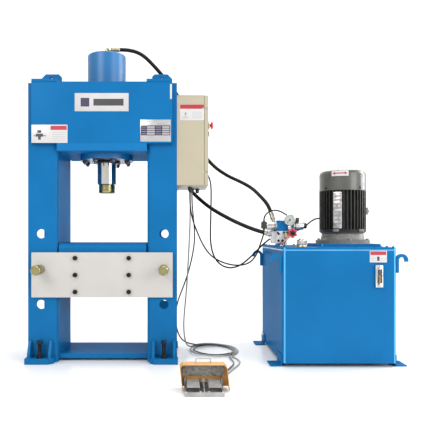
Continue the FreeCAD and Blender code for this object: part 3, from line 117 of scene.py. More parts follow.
def block(bm, low, high, edge=0.0, steps=2):
    """A box between two corners."""
    verts = bmesh.ops.create_cube(bm, size=1.0)["verts"]
    a, b = at(*low), at(*high)
    bmesh.ops.scale(bm, vec=b - a, verts=verts)
    bmesh.ops.translate(bm, vec=(a + b) / 2, verts=verts)
    if edge:
        soften(bm, verts_edges(verts), edge, steps)


def rod(bm, start, end, radius, far=None, sides=32, edge=0.0):
    """A round bar or cone from one place to another."""
    a, b = at(*start), at(*end)
    turn = (b - a).to_track_quat("Z", "Y").to_matrix().to_4x4()
    verts = bmesh.ops.create_cone(bm, cap_ends=True, segments=sides, radius1=radius * MM,
                                  radius2=(radius if far is None else far) * MM, depth=(b - a).length,
                                  matrix=Matrix.Translation((a + b) / 2) @ turn)["verts"]
    if edge:
        rims = [e for e in verts_edges(verts) if any(len(f.verts) > 4 for f in e.link_faces)]
        soften(bm, rims, edge)


def hexagon(bm, start, end, flats, edge=1.0):
    """A hexagonal head or nut with eased edges."""
    rod(bm, start, end, flats / 2 / math.cos(math.radians(30)), sides=6, edge=edge)


def turned(bm, points, base, pointing=UP, sides=48):
    """A full turn of (radius, height) pairs about an axis through base."""
    place = Matrix.Translation(at(*base)) @ Vector(pointing).to_track_quat("Z", "Y").to_matrix().to_4x4()
    verts = [bm.verts.new((r * MM, 0, h * MM)) for r, h in points]
    edges = [bm.edges.new(pair) for pair in zip(verts, verts[1:])]
    bmesh.ops.spin(bm, geom=verts + edges, cent=(0, 0, 0), axis=UP, angle=2 * math.pi,
                   steps=sides, use_merge=True)
    faces = {f for v in verts for f in v.link_faces}
    grown = set(faces)
    while faces:
        faces = {f for g in faces for e in g.edges for f in e.link_faces} - grown
        grown |= faces
    ring = list({v for f in grown for v in f.verts})
    bmesh.ops.transform(bm, matrix=place, verts=ring)
    bmesh.ops.remove_doubles(bm, verts=ring, dist=1e-6)


def sheet(bm, outline, thick):
    """A flat plate: an outline of places, thickened along a vector in millimetres."""
    face = bm.faces.new([bm.verts.new(at(*p)) for p in outline])
    grown = bmesh.ops.extrude_face_region(bm, geom=[face])["geom"]
    top = [g for g in grown if isinstance(g, bmesh.types.BMVert)]
    bmesh.ops.translate(bm, vec=Vector(thick) * MM, verts=top)


def append(bm, part):
    """Adds a part's mesh to a larger one and frees the part."""
    mesh = bpy.data.meshes.new("part")
    part.to_mesh(mesh)
    part.free()
    bm.from_mesh(mesh)
    bpy.data.meshes.remove(mesh)


def ball(bm, place, radius, sides=12):
    """A round head or drop, as a ball."""
    bmesh.ops.create_uvsphere(bm, u_segments=sides, v_segments=max(4, sides // 2), radius=radius * MM,
                              matrix=Matrix.Translation(at(*place)))


def line_curve(name, points, radius):
    """A smooth curve with a round section that follows control points given in millimetres."""
    curve = bpy.data.curves.new(name, "CURVE")
    curve.dimensions = "3D"
    spline = curve.splines.new("NURBS")
    spline.points.add(len(points) - 1)
    for knot, p in zip(spline.points, points):
        knot.co = (*at(*p), 1.0)
    spline.order_u = 3
    spline.use_endpoint_u = True
    curve.resolution_u = 8
    curve.bevel_depth = radius * MM
    curve.bevel_resolution = 3
    curve.use_fill_caps = True
    obj = bpy.data.objects.new(name, curve)
    bpy.context.scene.collection.objects.link(obj)
    return obj


def pipe(bm, points, radius):
    """A bent round wire or pipe, added to a mesh."""
    obj = line_curve("pipe", points, radius)
    bpy.context.view_layer.update()
    mesh = bpy.data.meshes.new_from_object(obj.evaluated_get(bpy.context.evaluated_depsgraph_get()))
    bm.from_mesh(mesh)
    curve = obj.data
    bpy.data.objects.remove(obj)
    bpy.data.curves.remove(curve)
    bpy.data.meshes.remove(mesh)


def bead(bm, start, end, size=3.0):
    """A weld bead of overlapping drops between two places."""
    a, b = Vector(start), Vector(end)
    count = max(2, round((b - a).length / (size * 1.5)))
    run = bmesh.new()
    for k in range(count):
        p = a.lerp(b, (k + 0.5) / count)
        drop = size * (1 + 0.12 * math.sin(k * 2.3) + 0.08 * math.sin(k * 5.1))
        ball(run, p, drop, 6)
    append(bm, run)


def piece(name, bm, finishes, body="frame", stands_for=()):
    """Turns a mesh into a piece of the machine that rides on a body."""
    bmesh.ops.recalc_face_normals(bm, faces=bm.faces)
    done = bm.faces.layers.int.get("coated")
    if done:
        bm.faces.layers.int.remove(done)
    mesh = bpy.data.meshes.new(name)
    bm.to_mesh(mesh)
    bm.free()
    for finish in finishes:
        mesh.materials.append(FINISH[finish])
    mesh.polygons.foreach_set("use_smooth", [True] * len(mesh.polygons))
    mesh.set_sharp_from_angle(angle=SHARP)
    obj = bpy.data.objects.new(name, mesh)
    bpy.context.scene.collection.objects.link(obj)
    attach(obj, body)
    if stands_for:
        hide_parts(*stands_for)


def dress(finish, *names):
    """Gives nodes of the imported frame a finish."""
    for name in names:
        for place in NODES[name].material_slots:
            place.material = FINISH[finish]


# ---------------------------------------------------------------- shaders

def node_group(name, inputs, outputs):
    """An empty shader group with named sockets."""
    group = bpy.data.node_groups.new(name, "ShaderNodeTree")
    for label, kind, value in inputs:
        socket = group.interface.new_socket(label, in_out="INPUT", socket_type=f"NodeSocket{kind}")
        if value is not None:
            socket.default_value = value
    for label, kind in outputs:
        group.interface.new_socket(label, in_out="OUTPUT", socket_type=f"NodeSocket{kind}")
    return group, group.nodes.new("NodeGroupInput"), group.nodes.new("NodeGroupOutput")


def join(tree, *pairs):
    """Links pairs of sockets, each an output and an input."""
    for out, into in pairs:
        tree.links.new(out, into)


def cloud_group():
    """A soft mask of clouds between two values."""
    group, given, made = node_group(
        "Clouds", [("Vector", "Vector", None), ("Scale", "Float", 6.0), ("Low", "Float", 0.0),
                   ("High", "Float", 1.0)], [("Mask", "Float")])
    noise = group.nodes.new("ShaderNodeTexNoise")
    noise.inputs["Detail"].default_value = 4.0
    spread = group.nodes.new("ShaderNodeMapRange")
    spread.inputs["From Min"].default_value = 0.34
    spread.inputs["From Max"].default_value = 0.66
    join(group, (given.outputs["Vector"], noise.inputs["Vector"]),
         (given.outputs["Scale"], noise.inputs["Scale"]), (noise.outputs["Fac"], spread.inputs["Value"]),
         (given.outputs["Low"], spread.inputs["To Min"]), (given.outputs["High"], spread.inputs["To Max"]),
         (spread.outputs["Result"], made.inputs["Mask"]))
    return group


def grain_group():
    """Heights of a fine grain, stretched along one axis for a brushed or turned surface."""
    group, given, made = node_group(
        "Grain", [("Vector", "Vector", None), ("Scale", "Float", 400.0),
                  ("Stretch", "Vector", (1.0, 1.0, 1.0))], [("Height", "Float")])
    stretch = group.nodes.new("ShaderNodeVectorMath")
    stretch.operation = "MULTIPLY"
    noise = group.nodes.new("ShaderNodeTexNoise")
    noise.inputs["Detail"].default_value = 2.0
    join(group, (given.outputs["Vector"], stretch.inputs[0]), (given.outputs["Stretch"], stretch.inputs[1]),
         (stretch.outputs["Vector"], noise.inputs["Vector"]), (given.outputs["Scale"], noise.inputs["Scale"]),
         (noise.outputs["Fac"], made.inputs["Height"]))
    return group


def wear_and_highlight_group():
    """A mask along sharp edges, broken up by noise."""
    group, given, made = node_group(
        "Worn and highlighted edges", [("Vector", "Vector", None), ("Width", "Float", 0.002), ("Amount", "Float", 0.4)],
        [("Mask", "Float")])
    bevel = group.nodes.new("ShaderNodeBevel")
    bevel.samples = 4
    shape = group.nodes.new("ShaderNodeNewGeometry")
    dot = group.nodes.new("ShaderNodeVectorMath")
    dot.operation = "DOT_PRODUCT"
    edge = group.nodes.new("ShaderNodeMapRange")
    edge.inputs["From Min"].default_value = 0.97
    edge.inputs["From Max"].default_value = 0.80
    noise = group.nodes.new("ShaderNodeTexNoise")
    noise.inputs["Scale"].default_value = 60.0
    broken = group.nodes.new("ShaderNodeMapRange")
    broken.inputs["From Min"].default_value = 0.42
    broken.inputs["From Max"].default_value = 0.62
    both = group.nodes.new("ShaderNodeMath")
    both.operation = "MULTIPLY"
    scaled = group.nodes.new("ShaderNodeMath")
    scaled.operation = "MULTIPLY"
    join(group, (given.outputs["Width"], bevel.inputs["Radius"]), (bevel.outputs["Normal"], dot.inputs[0]),
         (shape.outputs["Normal"], dot.inputs[1]), (dot.outputs["Value"], edge.inputs["Value"]),
         (given.outputs["Vector"], noise.inputs["Vector"]), (noise.outputs["Fac"], broken.inputs["Value"]),
         (edge.outputs["Result"], both.inputs[0]), (broken.outputs["Result"], both.inputs[1]),
         (both.outputs["Value"], scaled.inputs[0]), (given.outputs["Amount"], scaled.inputs[1]),
         (scaled.outputs["Value"], made.inputs["Mask"]))
    return group


def placed(tree, group, **values):
    """A group node with its own values."""
    node = tree.nodes.new("ShaderNodeGroup")
    node.node_tree = bpy.data.node_groups[group]
    for label, value in values.items():
        node.inputs[label.replace("_", " ")].default_value = value
    return node


def mix_colours(tree, mask, first, second):
    """A colour mix; first and second are colours or sockets."""
    mix = tree.nodes.new("ShaderNodeMix")
    mix.data_type = "RGBA"
    for socket, value in ((mix.inputs[6], first), (mix.inputs[7], second)):
        if isinstance(value, bpy.types.NodeSocket):
            tree.links.new(value, socket)
        else:
            socket.default_value = (*value, 1.0)
    tree.links.new(mask, mix.inputs[0])
    return mix.outputs[2]


def surface(name, colour, tint=None, rough=0.4, metal=0.0, clear=0.0, shade=0.08, patch=20,
            grain=300, depth=0.05, stretch=(1, 1, 1), gloss=0.06, wear_and_highlight=0.0, wear_and_highlight_colour=None,
            ease=0.0, painted_corner_highlight=None, **sockets):
    """A finish: clouded colour, uneven gloss, fine grain, eased edges, and edges in a second colour that is
    partly wear and partly a painted highlight.

    With a corner colour given, upright rounded corners have that lighter colour along their middle: a painted
    highlight.
    """
    material = bpy.data.materials.new(name)
    material.use_nodes = True
    tree = material.node_tree
    shader = tree.nodes["Principled BSDF"]
    shader.inputs["Metallic"].default_value = metal
    shader.inputs["Coat Weight"].default_value = clear
    shader.inputs["Coat Roughness"].default_value = 0.12
    for label, value in sockets.items():
        shader.inputs[label.replace("_", " ")].default_value = value
    where = tree.nodes.new("ShaderNodeTexCoord").outputs["Object"]
    clouds = placed(tree, "Clouds", Scale=patch)
    second = tint or tuple(min(1.0, c * (1 + shade)) for c in colour)
    first = tuple(c * (1 - shade) for c in colour)
    result = mix_colours(tree, clouds.outputs["Mask"], first, second)
    join(tree, (where, clouds.inputs["Vector"]))
    # Edges in a second colour: wear, and where that colour is lighter than an enamel, a painted highlight
    # along the edge.
    if wear_and_highlight:
        edges = placed(tree, "Worn and highlighted edges", Amount=wear_and_highlight)
        join(tree, (where, edges.inputs["Vector"]))
        result = mix_colours(tree, edges.outputs["Mask"], result, wear_and_highlight_colour)
    # Upright rounded corners in a lighter colour along their middle, picked by the normal: a painted
    # highlight.
    if painted_corner_highlight:
        facing = tree.nodes.new("ShaderNodeVectorMath")
        facing.operation = "ABSOLUTE"
        along = tree.nodes.new("ShaderNodeVectorMath")
        along.operation = "DOT_PRODUCT"
        along.inputs[1].default_value = (0.50, 0.866, 0)
        corner_highlight_mask = tree.nodes.new("ShaderNodeMapRange")
        corner_highlight_mask.interpolation_type = "SMOOTHSTEP"
        corner_highlight_mask.inputs["From Min"].default_value = 0.955
        join(tree, (tree.nodes.new("ShaderNodeNewGeometry").outputs["Normal"], facing.inputs[0]),
             (facing.outputs["Vector"], along.inputs[0]), (along.outputs["Value"], corner_highlight_mask.inputs["Value"]))
        result = mix_colours(tree, corner_highlight_mask.outputs["Result"], result, painted_corner_highlight)
    join(tree, (result, shader.inputs["Base Color"]))
    uneven = placed(tree, "Clouds", Scale=patch * 7, Low=max(0.02, rough - gloss), High=rough + gloss)
    fine = placed(tree, "Grain", Scale=grain, Stretch=stretch)
    bump = tree.nodes.new("ShaderNodeBump")
    bump.inputs["Strength"].default_value = depth
    bump.inputs["Distance"].default_value = 0.001
    join(tree, (where, uneven.inputs["Vector"]), (uneven.outputs["Mask"], shader.inputs["Roughness"]),
         (where, fine.inputs["Vector"]), (fine.outputs["Height"], bump.inputs["Height"]),
         (bump.outputs["Normal"], shader.inputs["Normal"]),
         (bump.outputs["Normal"], shader.inputs["Coat Normal"]))
    if ease:
        bevel = tree.nodes.new("ShaderNodeBevel")
        bevel.samples = 4
        bevel.inputs["Radius"].default_value = ease * MM
        join(tree, (bevel.outputs["Normal"], bump.inputs["Normal"]))
    FINISH[name] = material


# ---------------------------------------------------------------- finishes

def finishes(colours):
    """Makes every finish of the machine once."""
    cloud_group()
    grain_group()
    wear_and_highlight_group()
    blue, white, beige = tuple(colours.enamel), tuple(colours.table), tuple(colours.box)
    # On the enamels the lighter edge colour is partly wear and partly a painted highlight.
    surface("blue enamel", blue, rough=0.46, clear=0.12, shade=0.07, patch=3.5, grain=700, wear_and_highlight=0.35,
            wear_and_highlight_colour=(0.02, 0.17, 0.38), ease=1.6, Specular_IOR_Level=0.0, Coat_Roughness=0.22)
    # The tank's lighter corner stripes and lighter edge colour are painted highlights.
    surface("tank enamel", blue, rough=0.46, clear=0.14, patch=3, grain=700, depth=0.04, wear_and_highlight=0.6,
            wear_and_highlight_colour=(0.06, 0.26, 0.50), ease=3.0, painted_corner_highlight=(0.10, 0.42, 0.72), Specular_IOR_Level=0.0,
            Coat_Roughness=0.2)
    # A lighter, glossier blue for the seal round the tank's lid: a painted highlight.
    surface("rim highlight enamel", (0.05, 0.27, 0.52), clear=0.8, shade=0.1, patch=9, grain=700, depth=0.04,
            Coat_Roughness=0.25)
    # A lighter copy of the frame's blue for the head's floor: painted light.
    surface("lit blue enamel", tuple(c * 1.1 for c in blue), rough=0.5, clear=0.16, shade=0.05, patch=3.5,
            grain=700, wear_and_highlight=0.35, wear_and_highlight_colour=(0.02, 0.17, 0.38), ease=1.6, Specular_IOR_Level=0.0,
            Coat_Roughness=0.4)
    surface("blue gloss", blue, clear=0.55, shade=0.05, patch=3.5, grain=700, depth=0.03, wear_and_highlight=0.35,
            wear_and_highlight_colour=(0.02, 0.17, 0.38), ease=1.6, Specular_IOR_Level=0.2, Coat_Roughness=0.34)
    surface("white enamel", white, clear=0.2, shade=0.035, patch=4, grain=650, wear_and_highlight=0.3,
            wear_and_highlight_colour=(0.55, 0.55, 0.53), ease=1.2)
    surface("beige enamel", beige, rough=0.42, clear=0.1, shade=0.03, patch=5, grain=900, depth=0.08,
            wear_and_highlight=0.25, wear_and_highlight_colour=(0.55, 0.50, 0.38), ease=1.2)
    surface("orange enamel", tuple(colours.guard), rough=0.42, clear=0.15, shade=0.06, patch=14,
            grain=900, depth=0.07, wear_and_highlight=0.4, wear_and_highlight_colour=(0.30, 0.22, 0.10), ease=0.6)
    surface("motor enamel", (0.062, 0.0635, 0.054), rough=0.34, clear=0.3, shade=0.14, patch=9,
            grain=600, depth=0.10, wear_and_highlight=0.4, wear_and_highlight_colour=(0.22, 0.22, 0.20), ease=0.8)
    # The fins' light edges are partly wear and partly a painted highlight.
    surface("fin enamel", (0.013, 0.0135, 0.012), rough=0.45, clear=0.04, shade=0.25, patch=9, grain=500,
            depth=0.12, wear_and_highlight=0.85, wear_and_highlight_colour=(0.16, 0.16, 0.145), Specular_IOR_Level=0.2)
    surface("cast iron", (0.17, 0.165, 0.155), rough=0.55, metal=0.55, shade=0.18, patch=12, grain=260,
            depth=0.22, gloss=0.1, wear_and_highlight=0.5, wear_and_highlight_colour=(0.4, 0.39, 0.37))
    surface("tread iron", (0.36, 0.355, 0.35), rough=0.5, metal=0.5, shade=0.2, patch=18, depth=0.2,
            gloss=0.1, wear_and_highlight=0.6, wear_and_highlight_colour=(0.5, 0.5, 0.48))
    surface("chrome", (0.62, 0.60, 0.57), rough=0.13, metal=1.0, shade=0.05, patch=7, grain=900,
            depth=0.02, stretch=(1, 1, 8), gloss=0.04)
    surface("yellow zinc", (0.42, 0.35, 0.15), tint=(0.34, 0.34, 0.17), rough=0.26, metal=1.0, shade=0.2,
            patch=16, grain=500, gloss=0.08, wear_and_highlight=0.4, wear_and_highlight_colour=(0.62, 0.58, 0.42))
    surface("bright steel", (0.52, 0.52, 0.53), rough=0.27, metal=1.0, shade=0.1, patch=14, grain=500,
            gloss=0.08, wear_and_highlight=0.3, wear_and_highlight_colour=(0.7, 0.7, 0.7))
    surface("turned steel", (0.55, 0.54, 0.52), rough=0.24, metal=1.0, patch=10, grain=120, depth=0.14,
            stretch=(1, 1, 30), gloss=0.07)
    surface("black steel", (0.012, 0.012, 0.013), rough=0.36, metal=0.5, shade=0.25, grain=500,
            depth=0.06, gloss=0.1, wear_and_highlight=0.4, wear_and_highlight_colour=(0.14, 0.14, 0.14), Specular_IOR_Level=0.3)
    surface("aluminium", (0.62, 0.63, 0.64), rough=0.34, metal=1.0, patch=12, depth=0.08, gloss=0.08)
    surface("brass", (0.62, 0.44, 0.18), rough=0.28, metal=1.0, shade=0.14, grain=400, gloss=0.08)
    surface("copper", (0.68, 0.30, 0.18), rough=0.26, metal=1.0, shade=0.14, grain=400, gloss=0.08)
    surface("red plastic", (0.50, 0.012, 0.045), rough=0.28, clear=0.3, grain=500, depth=0.03)
    surface("green plastic", (0.02, 0.32, 0.10), rough=0.3, clear=0.3, grain=500, depth=0.03)
    surface("yellow plastic", (0.75, 0.52, 0.03), rough=0.32, clear=0.2, shade=0.07, grain=500,
            depth=0.03)
    surface("blue black", (0.006, 0.030, 0.085), rough=0.34, clear=0.3, shade=0.3, grain=500, depth=0.06,
            gloss=0.1, wear_and_highlight=0.4, wear_and_highlight_colour=(0.05, 0.06, 0.08))
    surface("turned brass", (0.50, 0.44, 0.32), rough=0.26, metal=1.0, shade=0.16, patch=18, grain=400,
            gloss=0.08)
    surface("brass steel", (0.52, 0.47, 0.38), rough=0.28, metal=1.0, shade=0.12, patch=16, grain=400,
            gloss=0.08)
    surface("black rubber", (0.015, 0.015, 0.015), rough=0.6, shade=0.25, grain=400, depth=0.1,
            gloss=0.1)
    surface("grey rule", (0.36, 0.36, 0.38), clear=0.2, shade=0.05, patch=12, depth=0.02)
    surface("black plastic", (0.018, 0.018, 0.019), rough=0.38, shade=0.25, grain=500, depth=0.08,
            gloss=0.1)
    surface("grey plastic", (0.26, 0.27, 0.28), rough=0.45, shade=0.1, grain=500, depth=0.07)
    surface("hose", (0.006, 0.005, 0.0045), tint=(0.014, 0.010, 0.008), rough=0.42, shade=0.2, patch=12,
            grain=260, depth=0.35, gloss=0.1, Specular_IOR_Level=0.16)
    surface("black cable", (0.006, 0.006, 0.0065), rough=0.45, shade=0.2, patch=25, depth=0.12,
            gloss=0.1, Specular_IOR_Level=0.12)
    surface("dark cable", (0.018, 0.018, 0.0185), rough=0.34, clear=0.4, shade=0.2, patch=25, depth=0.12,
            gloss=0.1)
    surface("grey cable", (0.26, 0.255, 0.24), rough=0.38, clear=0.3, shade=0.12, patch=25, depth=0.12,
            gloss=0.08)
    surface("white label", (0.51, 0.50, 0.49), rough=0.36, clear=0.3, shade=0.02, patch=9, depth=0.02)
    surface("plate white", (0.47, 0.46, 0.455), rough=0.42, shade=0.05, patch=9, depth=0.02,
            Specular_IOR_Level=0.2)
    surface("red ink", (0.38, 0.016, 0.03), rough=0.36, clear=0.3, shade=0.05, patch=12, depth=0.02)
    surface("grey ink", (0.20, 0.20, 0.21), clear=0.2, shade=0.06, patch=12, depth=0.02)
    surface("dark ink", (0.035, 0.036, 0.04), clear=0.2, shade=0.06, patch=12, depth=0.02)
    surface("plate silver", (0.50, 0.49, 0.50), rough=0.35, metal=0.9, shade=0.06, patch=9, grain=90,
            depth=0.08, stretch=(30, 1, 1))
    # Dark and light blotches on the motor's name plate: painted reflections.
    surface("blotched plate", (0.22, 0.21, 0.20), tint=(0.62, 0.60, 0.59), rough=0.34, metal=0.8, patch=42,
            depth=0.12, gloss=0.12)
    surface("violet ink", (0.030, 0.022, 0.060), clear=0.2, shade=0.06, patch=12, depth=0.02)
    surface("lining", (0.20, 0.195, 0.185), tint=(0.46, 0.45, 0.43), rough=0.5, metal=0.2, patch=60,
            depth=0.2, gloss=0.1)
    surface("dial white", (0.82, 0.82, 0.78), shade=0.02, patch=14, depth=0.01)
    surface("glass", (0.9, 0.93, 0.92), rough=0.04, shade=0.02, patch=9, depth=0.0, gloss=0.01,
            Transmission_Weight=1.0, IOR=1.45)
    surface("oil", (0.50, 0.26, 0.04), rough=0.12, shade=0.1, patch=14, depth=0.01)


def dress_frame():
    """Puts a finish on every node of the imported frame."""
    dress("blue enamel", "left_column", "right_column", "head_front_plate", "head_rear_plate",
          "lifting_lugs", "bottom_rail", "feet", "table_bed",
          "directional_valve", "tank_feet", "tank_hooks")
    dress("tank enamel", "tank_shell", "tank_lid")
    dress("blue gloss", "cylinder_tube")
    # The head's floor takes the lighter copy of the blue: painted light.
    dress("lit blue enamel", "head_floor")
    dress("white enamel", "table_front_plate", "table_rear_plate")
    dress("beige enamel", "control_box", "control_door")
    dress("orange enamel", "pedal_guard")
    dress("motor enamel", "fan_cover", "terminal_box")
    dress("fin enamel", "motor_frame", "motor_fan")
    dress("cast iron", "motor_shields", "pump")
    dress("tread iron", "left_pedal", "right_pedal", "pedal_base")
    dress("chrome", "ram_rod", "filler_cap")
    dress("yellow zinc", "ram_nose", "left_pin", "right_pin")
    dress("bright steel", "hose_fittings", "manifold",
          "motor_shaft", "solenoids", "gauge_case")
    dress("black steel", "rod_gland", "table_screws", "levelling_bolts", "flange_bolts")
    dress("aluminium", "level_gauge")
    dress("brass", "relief_valve")
    dress("red plastic", "estop_button", "handwheel")
    dress("green plastic", "start_button")
    dress("black plastic", "cable_glands", "gauge_pointer")
    dress("grey plastic", "switch_gear")


class PRESS_OT_finishes(bpy.types.Operator):
    """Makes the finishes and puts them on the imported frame"""
    bl_idname = "press.finishes"
    bl_label = "Finishes"

    def execute(self, context):
        finishes(context.scene.press_colours)
        dress_frame()
        return {"FINISHED"}


class PressColours(bpy.types.PropertyGroup):
    """Colours of the machine's enamels"""
    enamel: FloatVectorProperty(name="Enamel", description="The blue of the frame and the tank",
                                subtype="COLOR", size=3, min=0, max=1, default=(0.006, 0.122, 0.312))
    table: FloatVectorProperty(name="Table plates", description="The off-white of the table's plates",
                               subtype="COLOR", size=3, min=0, max=1, default=(0.46, 0.44, 0.42))
    box: FloatVectorProperty(name="Control box", description="The beige of the control box",
                             subtype="COLOR", size=3, min=0, max=1, default=(0.37, 0.33, 0.24))
    guard: FloatVectorProperty(name="Pedal guard", description="The orange of the foot switch's guard",
                               subtype="COLOR", size=3, min=0, max=1, default=(0.55, 0.27, 0.05))


# ---------------------------------------------------------------- camera, stage, hoses and cables

def camera():
    """A camera in front of the press, a little to its right."""
    data = bpy.data.cameras.new("Camera")
    data.lens, data.shift_x, data.shift_y = 46.05, 0.086, 0.044
    data.clip_end = 50
    obj = bpy.data.objects.new("Camera", data)
    obj.location = at(405.6, -3140, 689)
    obj.rotation_euler = (math.radians(90), 0, 0)
    bpy.context.scene.collection.objects.link(obj)
    bpy.context.scene.camera = obj


def lamp(name, place, aim, size, power):
    """A soft square lamp that stands at a place and points at another, in metres."""
    data = bpy.data.lights.new(name, "AREA")
    data.energy, data.size = power, size
    obj = bpy.data.objects.new(name, data)
    obj.location = place
    obj.rotation_euler = (Vector(aim) - Vector(place)).to_track_quat("-Z", "Y").to_euler()
    bpy.context.scene.collection.objects.link(obj)


def studio():
    """A pale floor that turns up into a wall behind the machine, and soft lamps."""
    bm = bmesh.new()
    corners = [(-9, -7), (9, -7), (9, 4.5), (-9, 4.5)]
    floor = bm.faces.new([bm.verts.new((x, y, -0.0005)) for x, y in corners])
    rear = next(e for e in floor.edges if all(v.co.y > 4 for v in e.verts))
    bmesh.ops.recalc_face_normals(bm, faces=bm.faces)
    bmesh.ops.spin(bm, geom=[rear] + list(rear.verts), cent=(0, 4.5, 1.4995), axis=(1, 0, 0),
                   angle=math.radians(90), steps=16)
    wall = [v for v in bm.verts if v.co.z > 1.49]
    top = bmesh.ops.extrude_edge_only(bm, edges=verts_edges(wall))["geom"]
    bmesh.ops.translate(bm, vec=(0, 0, 6), verts=[g for g in top if isinstance(g, bmesh.types.BMVert)])
    bmesh.ops.recalc_face_normals(bm, faces=bm.faces)
    mesh = bpy.data.meshes.new("backdrop")
    bm.to_mesh(mesh)
    bm.free()
    mesh.polygons.foreach_set("use_smooth", [True] * len(mesh.polygons))
    material = bpy.data.materials.new("backdrop")
    material.use_nodes = True
    tree = material.node_tree
    shader = tree.nodes["Principled BSDF"]
    shader.inputs["Roughness"].default_value = 0.3
    shader.inputs["Specular IOR Level"].default_value = 0.25
    split = tree.nodes.new("ShaderNodeSeparateXYZ")
    rise = tree.nodes.new("ShaderNodeMapRange")
    rise.inputs["From Max"].default_value = 0.6
    join(tree, (tree.nodes.new("ShaderNodeTexCoord").outputs["Object"], split.inputs[0]),
         (split.outputs["Z"], rise.inputs["Value"]),
         (mix_colours(tree, rise.outputs["Result"], (0.86, 0.865, 0.87), (0.97, 0.97, 0.97)),
          shader.inputs["Base Color"]))
    mesh.materials.append(material)
    obj = bpy.data.objects.new("backdrop", mesh)
    bpy.context.scene.collection.objects.link(obj)
    bpy.context.scene.view_settings.view_transform = "Standard"
    world = bpy.data.worlds.new("studio")
    world.use_nodes = True
    world.node_tree.nodes["Background"].inputs["Color"].default_value = (1, 1, 1, 1)
    world.node_tree.nodes["Background"].inputs["Strength"].default_value = 0.92
    bpy.context.scene.world = world
    lamp("key light", (-3.2, -4.2, 3.6), (0, 0, 0.7), 2.6, 132)
    lamp("fill light", (3.8, -3.4, 2.2), (0.6, 0, 0.6), 2.8, 130)
    lamp("side light", (4.4, 0.9, 2.3), (0, 0, 1.0), 2.4, 160)
    lamp("top light", (0.2, 0.3, 4.4), (0, 0, 0), 3.4, 85)


HOSE_TO_TOP = [
    (75, 0, 1740), (131, 0, 1740), (204, 6, 1715), (270, 36, 1656), (345, 88, 1583),
    (415, 155, 1503), (468, 208, 1395), (515, 235, 1280), (560, 236, 1180), (622, 212, 1100),
    (702, 168, 1038), (774, 118, 999), (836, 75, 959), (874, 11, 909), (902.5, -37, 866.7),
    (915.9, -59.5, 836.5), (923.35, -72.04, 807.99),
]
HOSE_TO_REAR = [
    (70, 262, 1220), (125, 262, 1220), (190, 264, 1207), (290, 262, 1165), (380, 250, 1095),
    (440, 222, 1016), (492, 182, 940), (545, 130, 885), (600, 84, 838), (664, 44, 797),
    (728, 6, 761), (786, -32, 733), (841, -64, 709.5), (880.38, -83.08, 697.76),
]
VALVE_LEAD = [
    (472, -60, 926), (472, -60, 868), (478, -60, 810), (491, -61, 756), (511, -64, 704),
    (541, -70, 634), (578, -76, 577), (630, -82, 539), (698, -92, 517), (752, -102, 515),
    (797, -112, 528), (828, -122, 560), (846, -131, 602), (858, -137, 643), (869, -140, 675),
    (874, -140, 699), (874, -140, 719.5),
]
JUMPER_LEAD = [
    (874, -140, 755.5), (874, -140, 768), (878, -139, 784), (888, -137, 799), (904, -134, 811),
    (925, -131, 818), (948, -129, 818), (970, -128, 811), (990, -128, 799), (1008, -128, 788),
    (1039, -128, 768),
]
MOTOR_CABLE = [
    (529, 191, 1090), (529, 219, 1090), (538, 246, 1089), (557, 268, 1084), (580, 277, 1068),
    (597, 274, 1044), (606, 262, 1012), (609, 238, 966), (607, 206, 906), (604, 174, 850),
    (601, 142, 785), (597, 112, 715), (596, 90, 648), (604, 74, 588), (624, 60, 540),
    (655, 50, 508), (692, 38, 493), (730, 28, 495), (768, 18, 512), (806, 8, 543),
    (850, 0, 588), (893, -6, 634), (944, -12, 672), (1006, -12, 694), (1058, 0, 703),
    (1090, 22, 709), (1116, 50, 716), (1144.5, 85.5, 728), (1169, 117, 743), (1191, 143, 758),
    (1215, 161, 772), (1242, 169, 783), (1272, 169, 783),
]
PEDAL_DOWN = [
    (475, -22, 926), (475, -22, 866), (475, -20, 800), (473, -16, 716), (469, -8, 630),
    (465, 4, 545), (460, 18, 455), (455, 34, 370), (448, 50, 290), (441, 64, 214),
    (439, 76, 150), (442, 88, 98), (448, 98, 62), (457, 106, 36),
]
SECOND_DOWN = [
    (486, 22, 926), (486, 22, 868), (492, 34, 806), (499, 48, 742), (503, 62, 676),
    (498, 78, 607), (483, 92, 528), (462, 106, 446), (432, 120, 364), (406, 130, 296),
    (392, 138, 232), (391, 142, 170), (401, 144, 112), (418, 144, 72), (442, 143, 48),
    (472, 150, 35), (502, 172, 25), (524, 190, 18),
]
PEDAL_TAIL = [
    (707, -60, 6), (714, -92, 5), (731, -132, 5), (738, -182, 5), (730, -240, 5),
    (708, -300, 5), (682, -362, 5), (656, -430, 5), (628, -504, 5), (604, -558, 8), (592, -600, 15),
    (592, -641, 16),
]
SECOND_TAIL = [
    (716, 6, 12), (706, -28, 17), (696, -58, 16), (690, -88, 11), (692, -122, 6),
    (700, -160, 5), (704, -212, 5), (692, -272, 5), (670, -336, 5), (644, -404, 5), (618, -474, 5),
    (590, -538, 7), (572, -588, 14), (566, -614, 16), (566, -641, 16),
]


def turns(start, end, outer, right_step):
    """Loose clockwise turns of a cable on the floor, from the innermost out to the outermost.

    The turns lie on each other at the coil's left and fan out by right_step towards its right.
    """
    left_step, rise, step = 0.025, 8.5, 24
    points, steps = [], round((start - end) / step)
    for k in range(steps + 1):
        angle = start + (end - start) * k / steps
        turn = (angle - end) / 360
        left = 0.5 - 0.5 * math.cos(math.radians(angle))
        scale = outer - turn * (left_step * left + right_step * (1 - left))
        points.append((COIL_X + 152 * math.cos(math.radians(angle)) * scale + 3 * math.sin(k * 1.3),
                       COIL_Y + 187 * math.sin(math.radians(angle)) * scale, 5 + rise * turn * left))
    return points


def laid_cord(name, points, size, finish, *stands_for, slot="black_rubber"):
    """One cable or hose as a single curve with a round section, riding on the frame."""
    diameter = millimetres(size)
    obj = line_curve(name, points, diameter / 2)
    obj.data.materials.append(FINISH[finish])
    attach(obj, "frame")
    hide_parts(*stands_for)


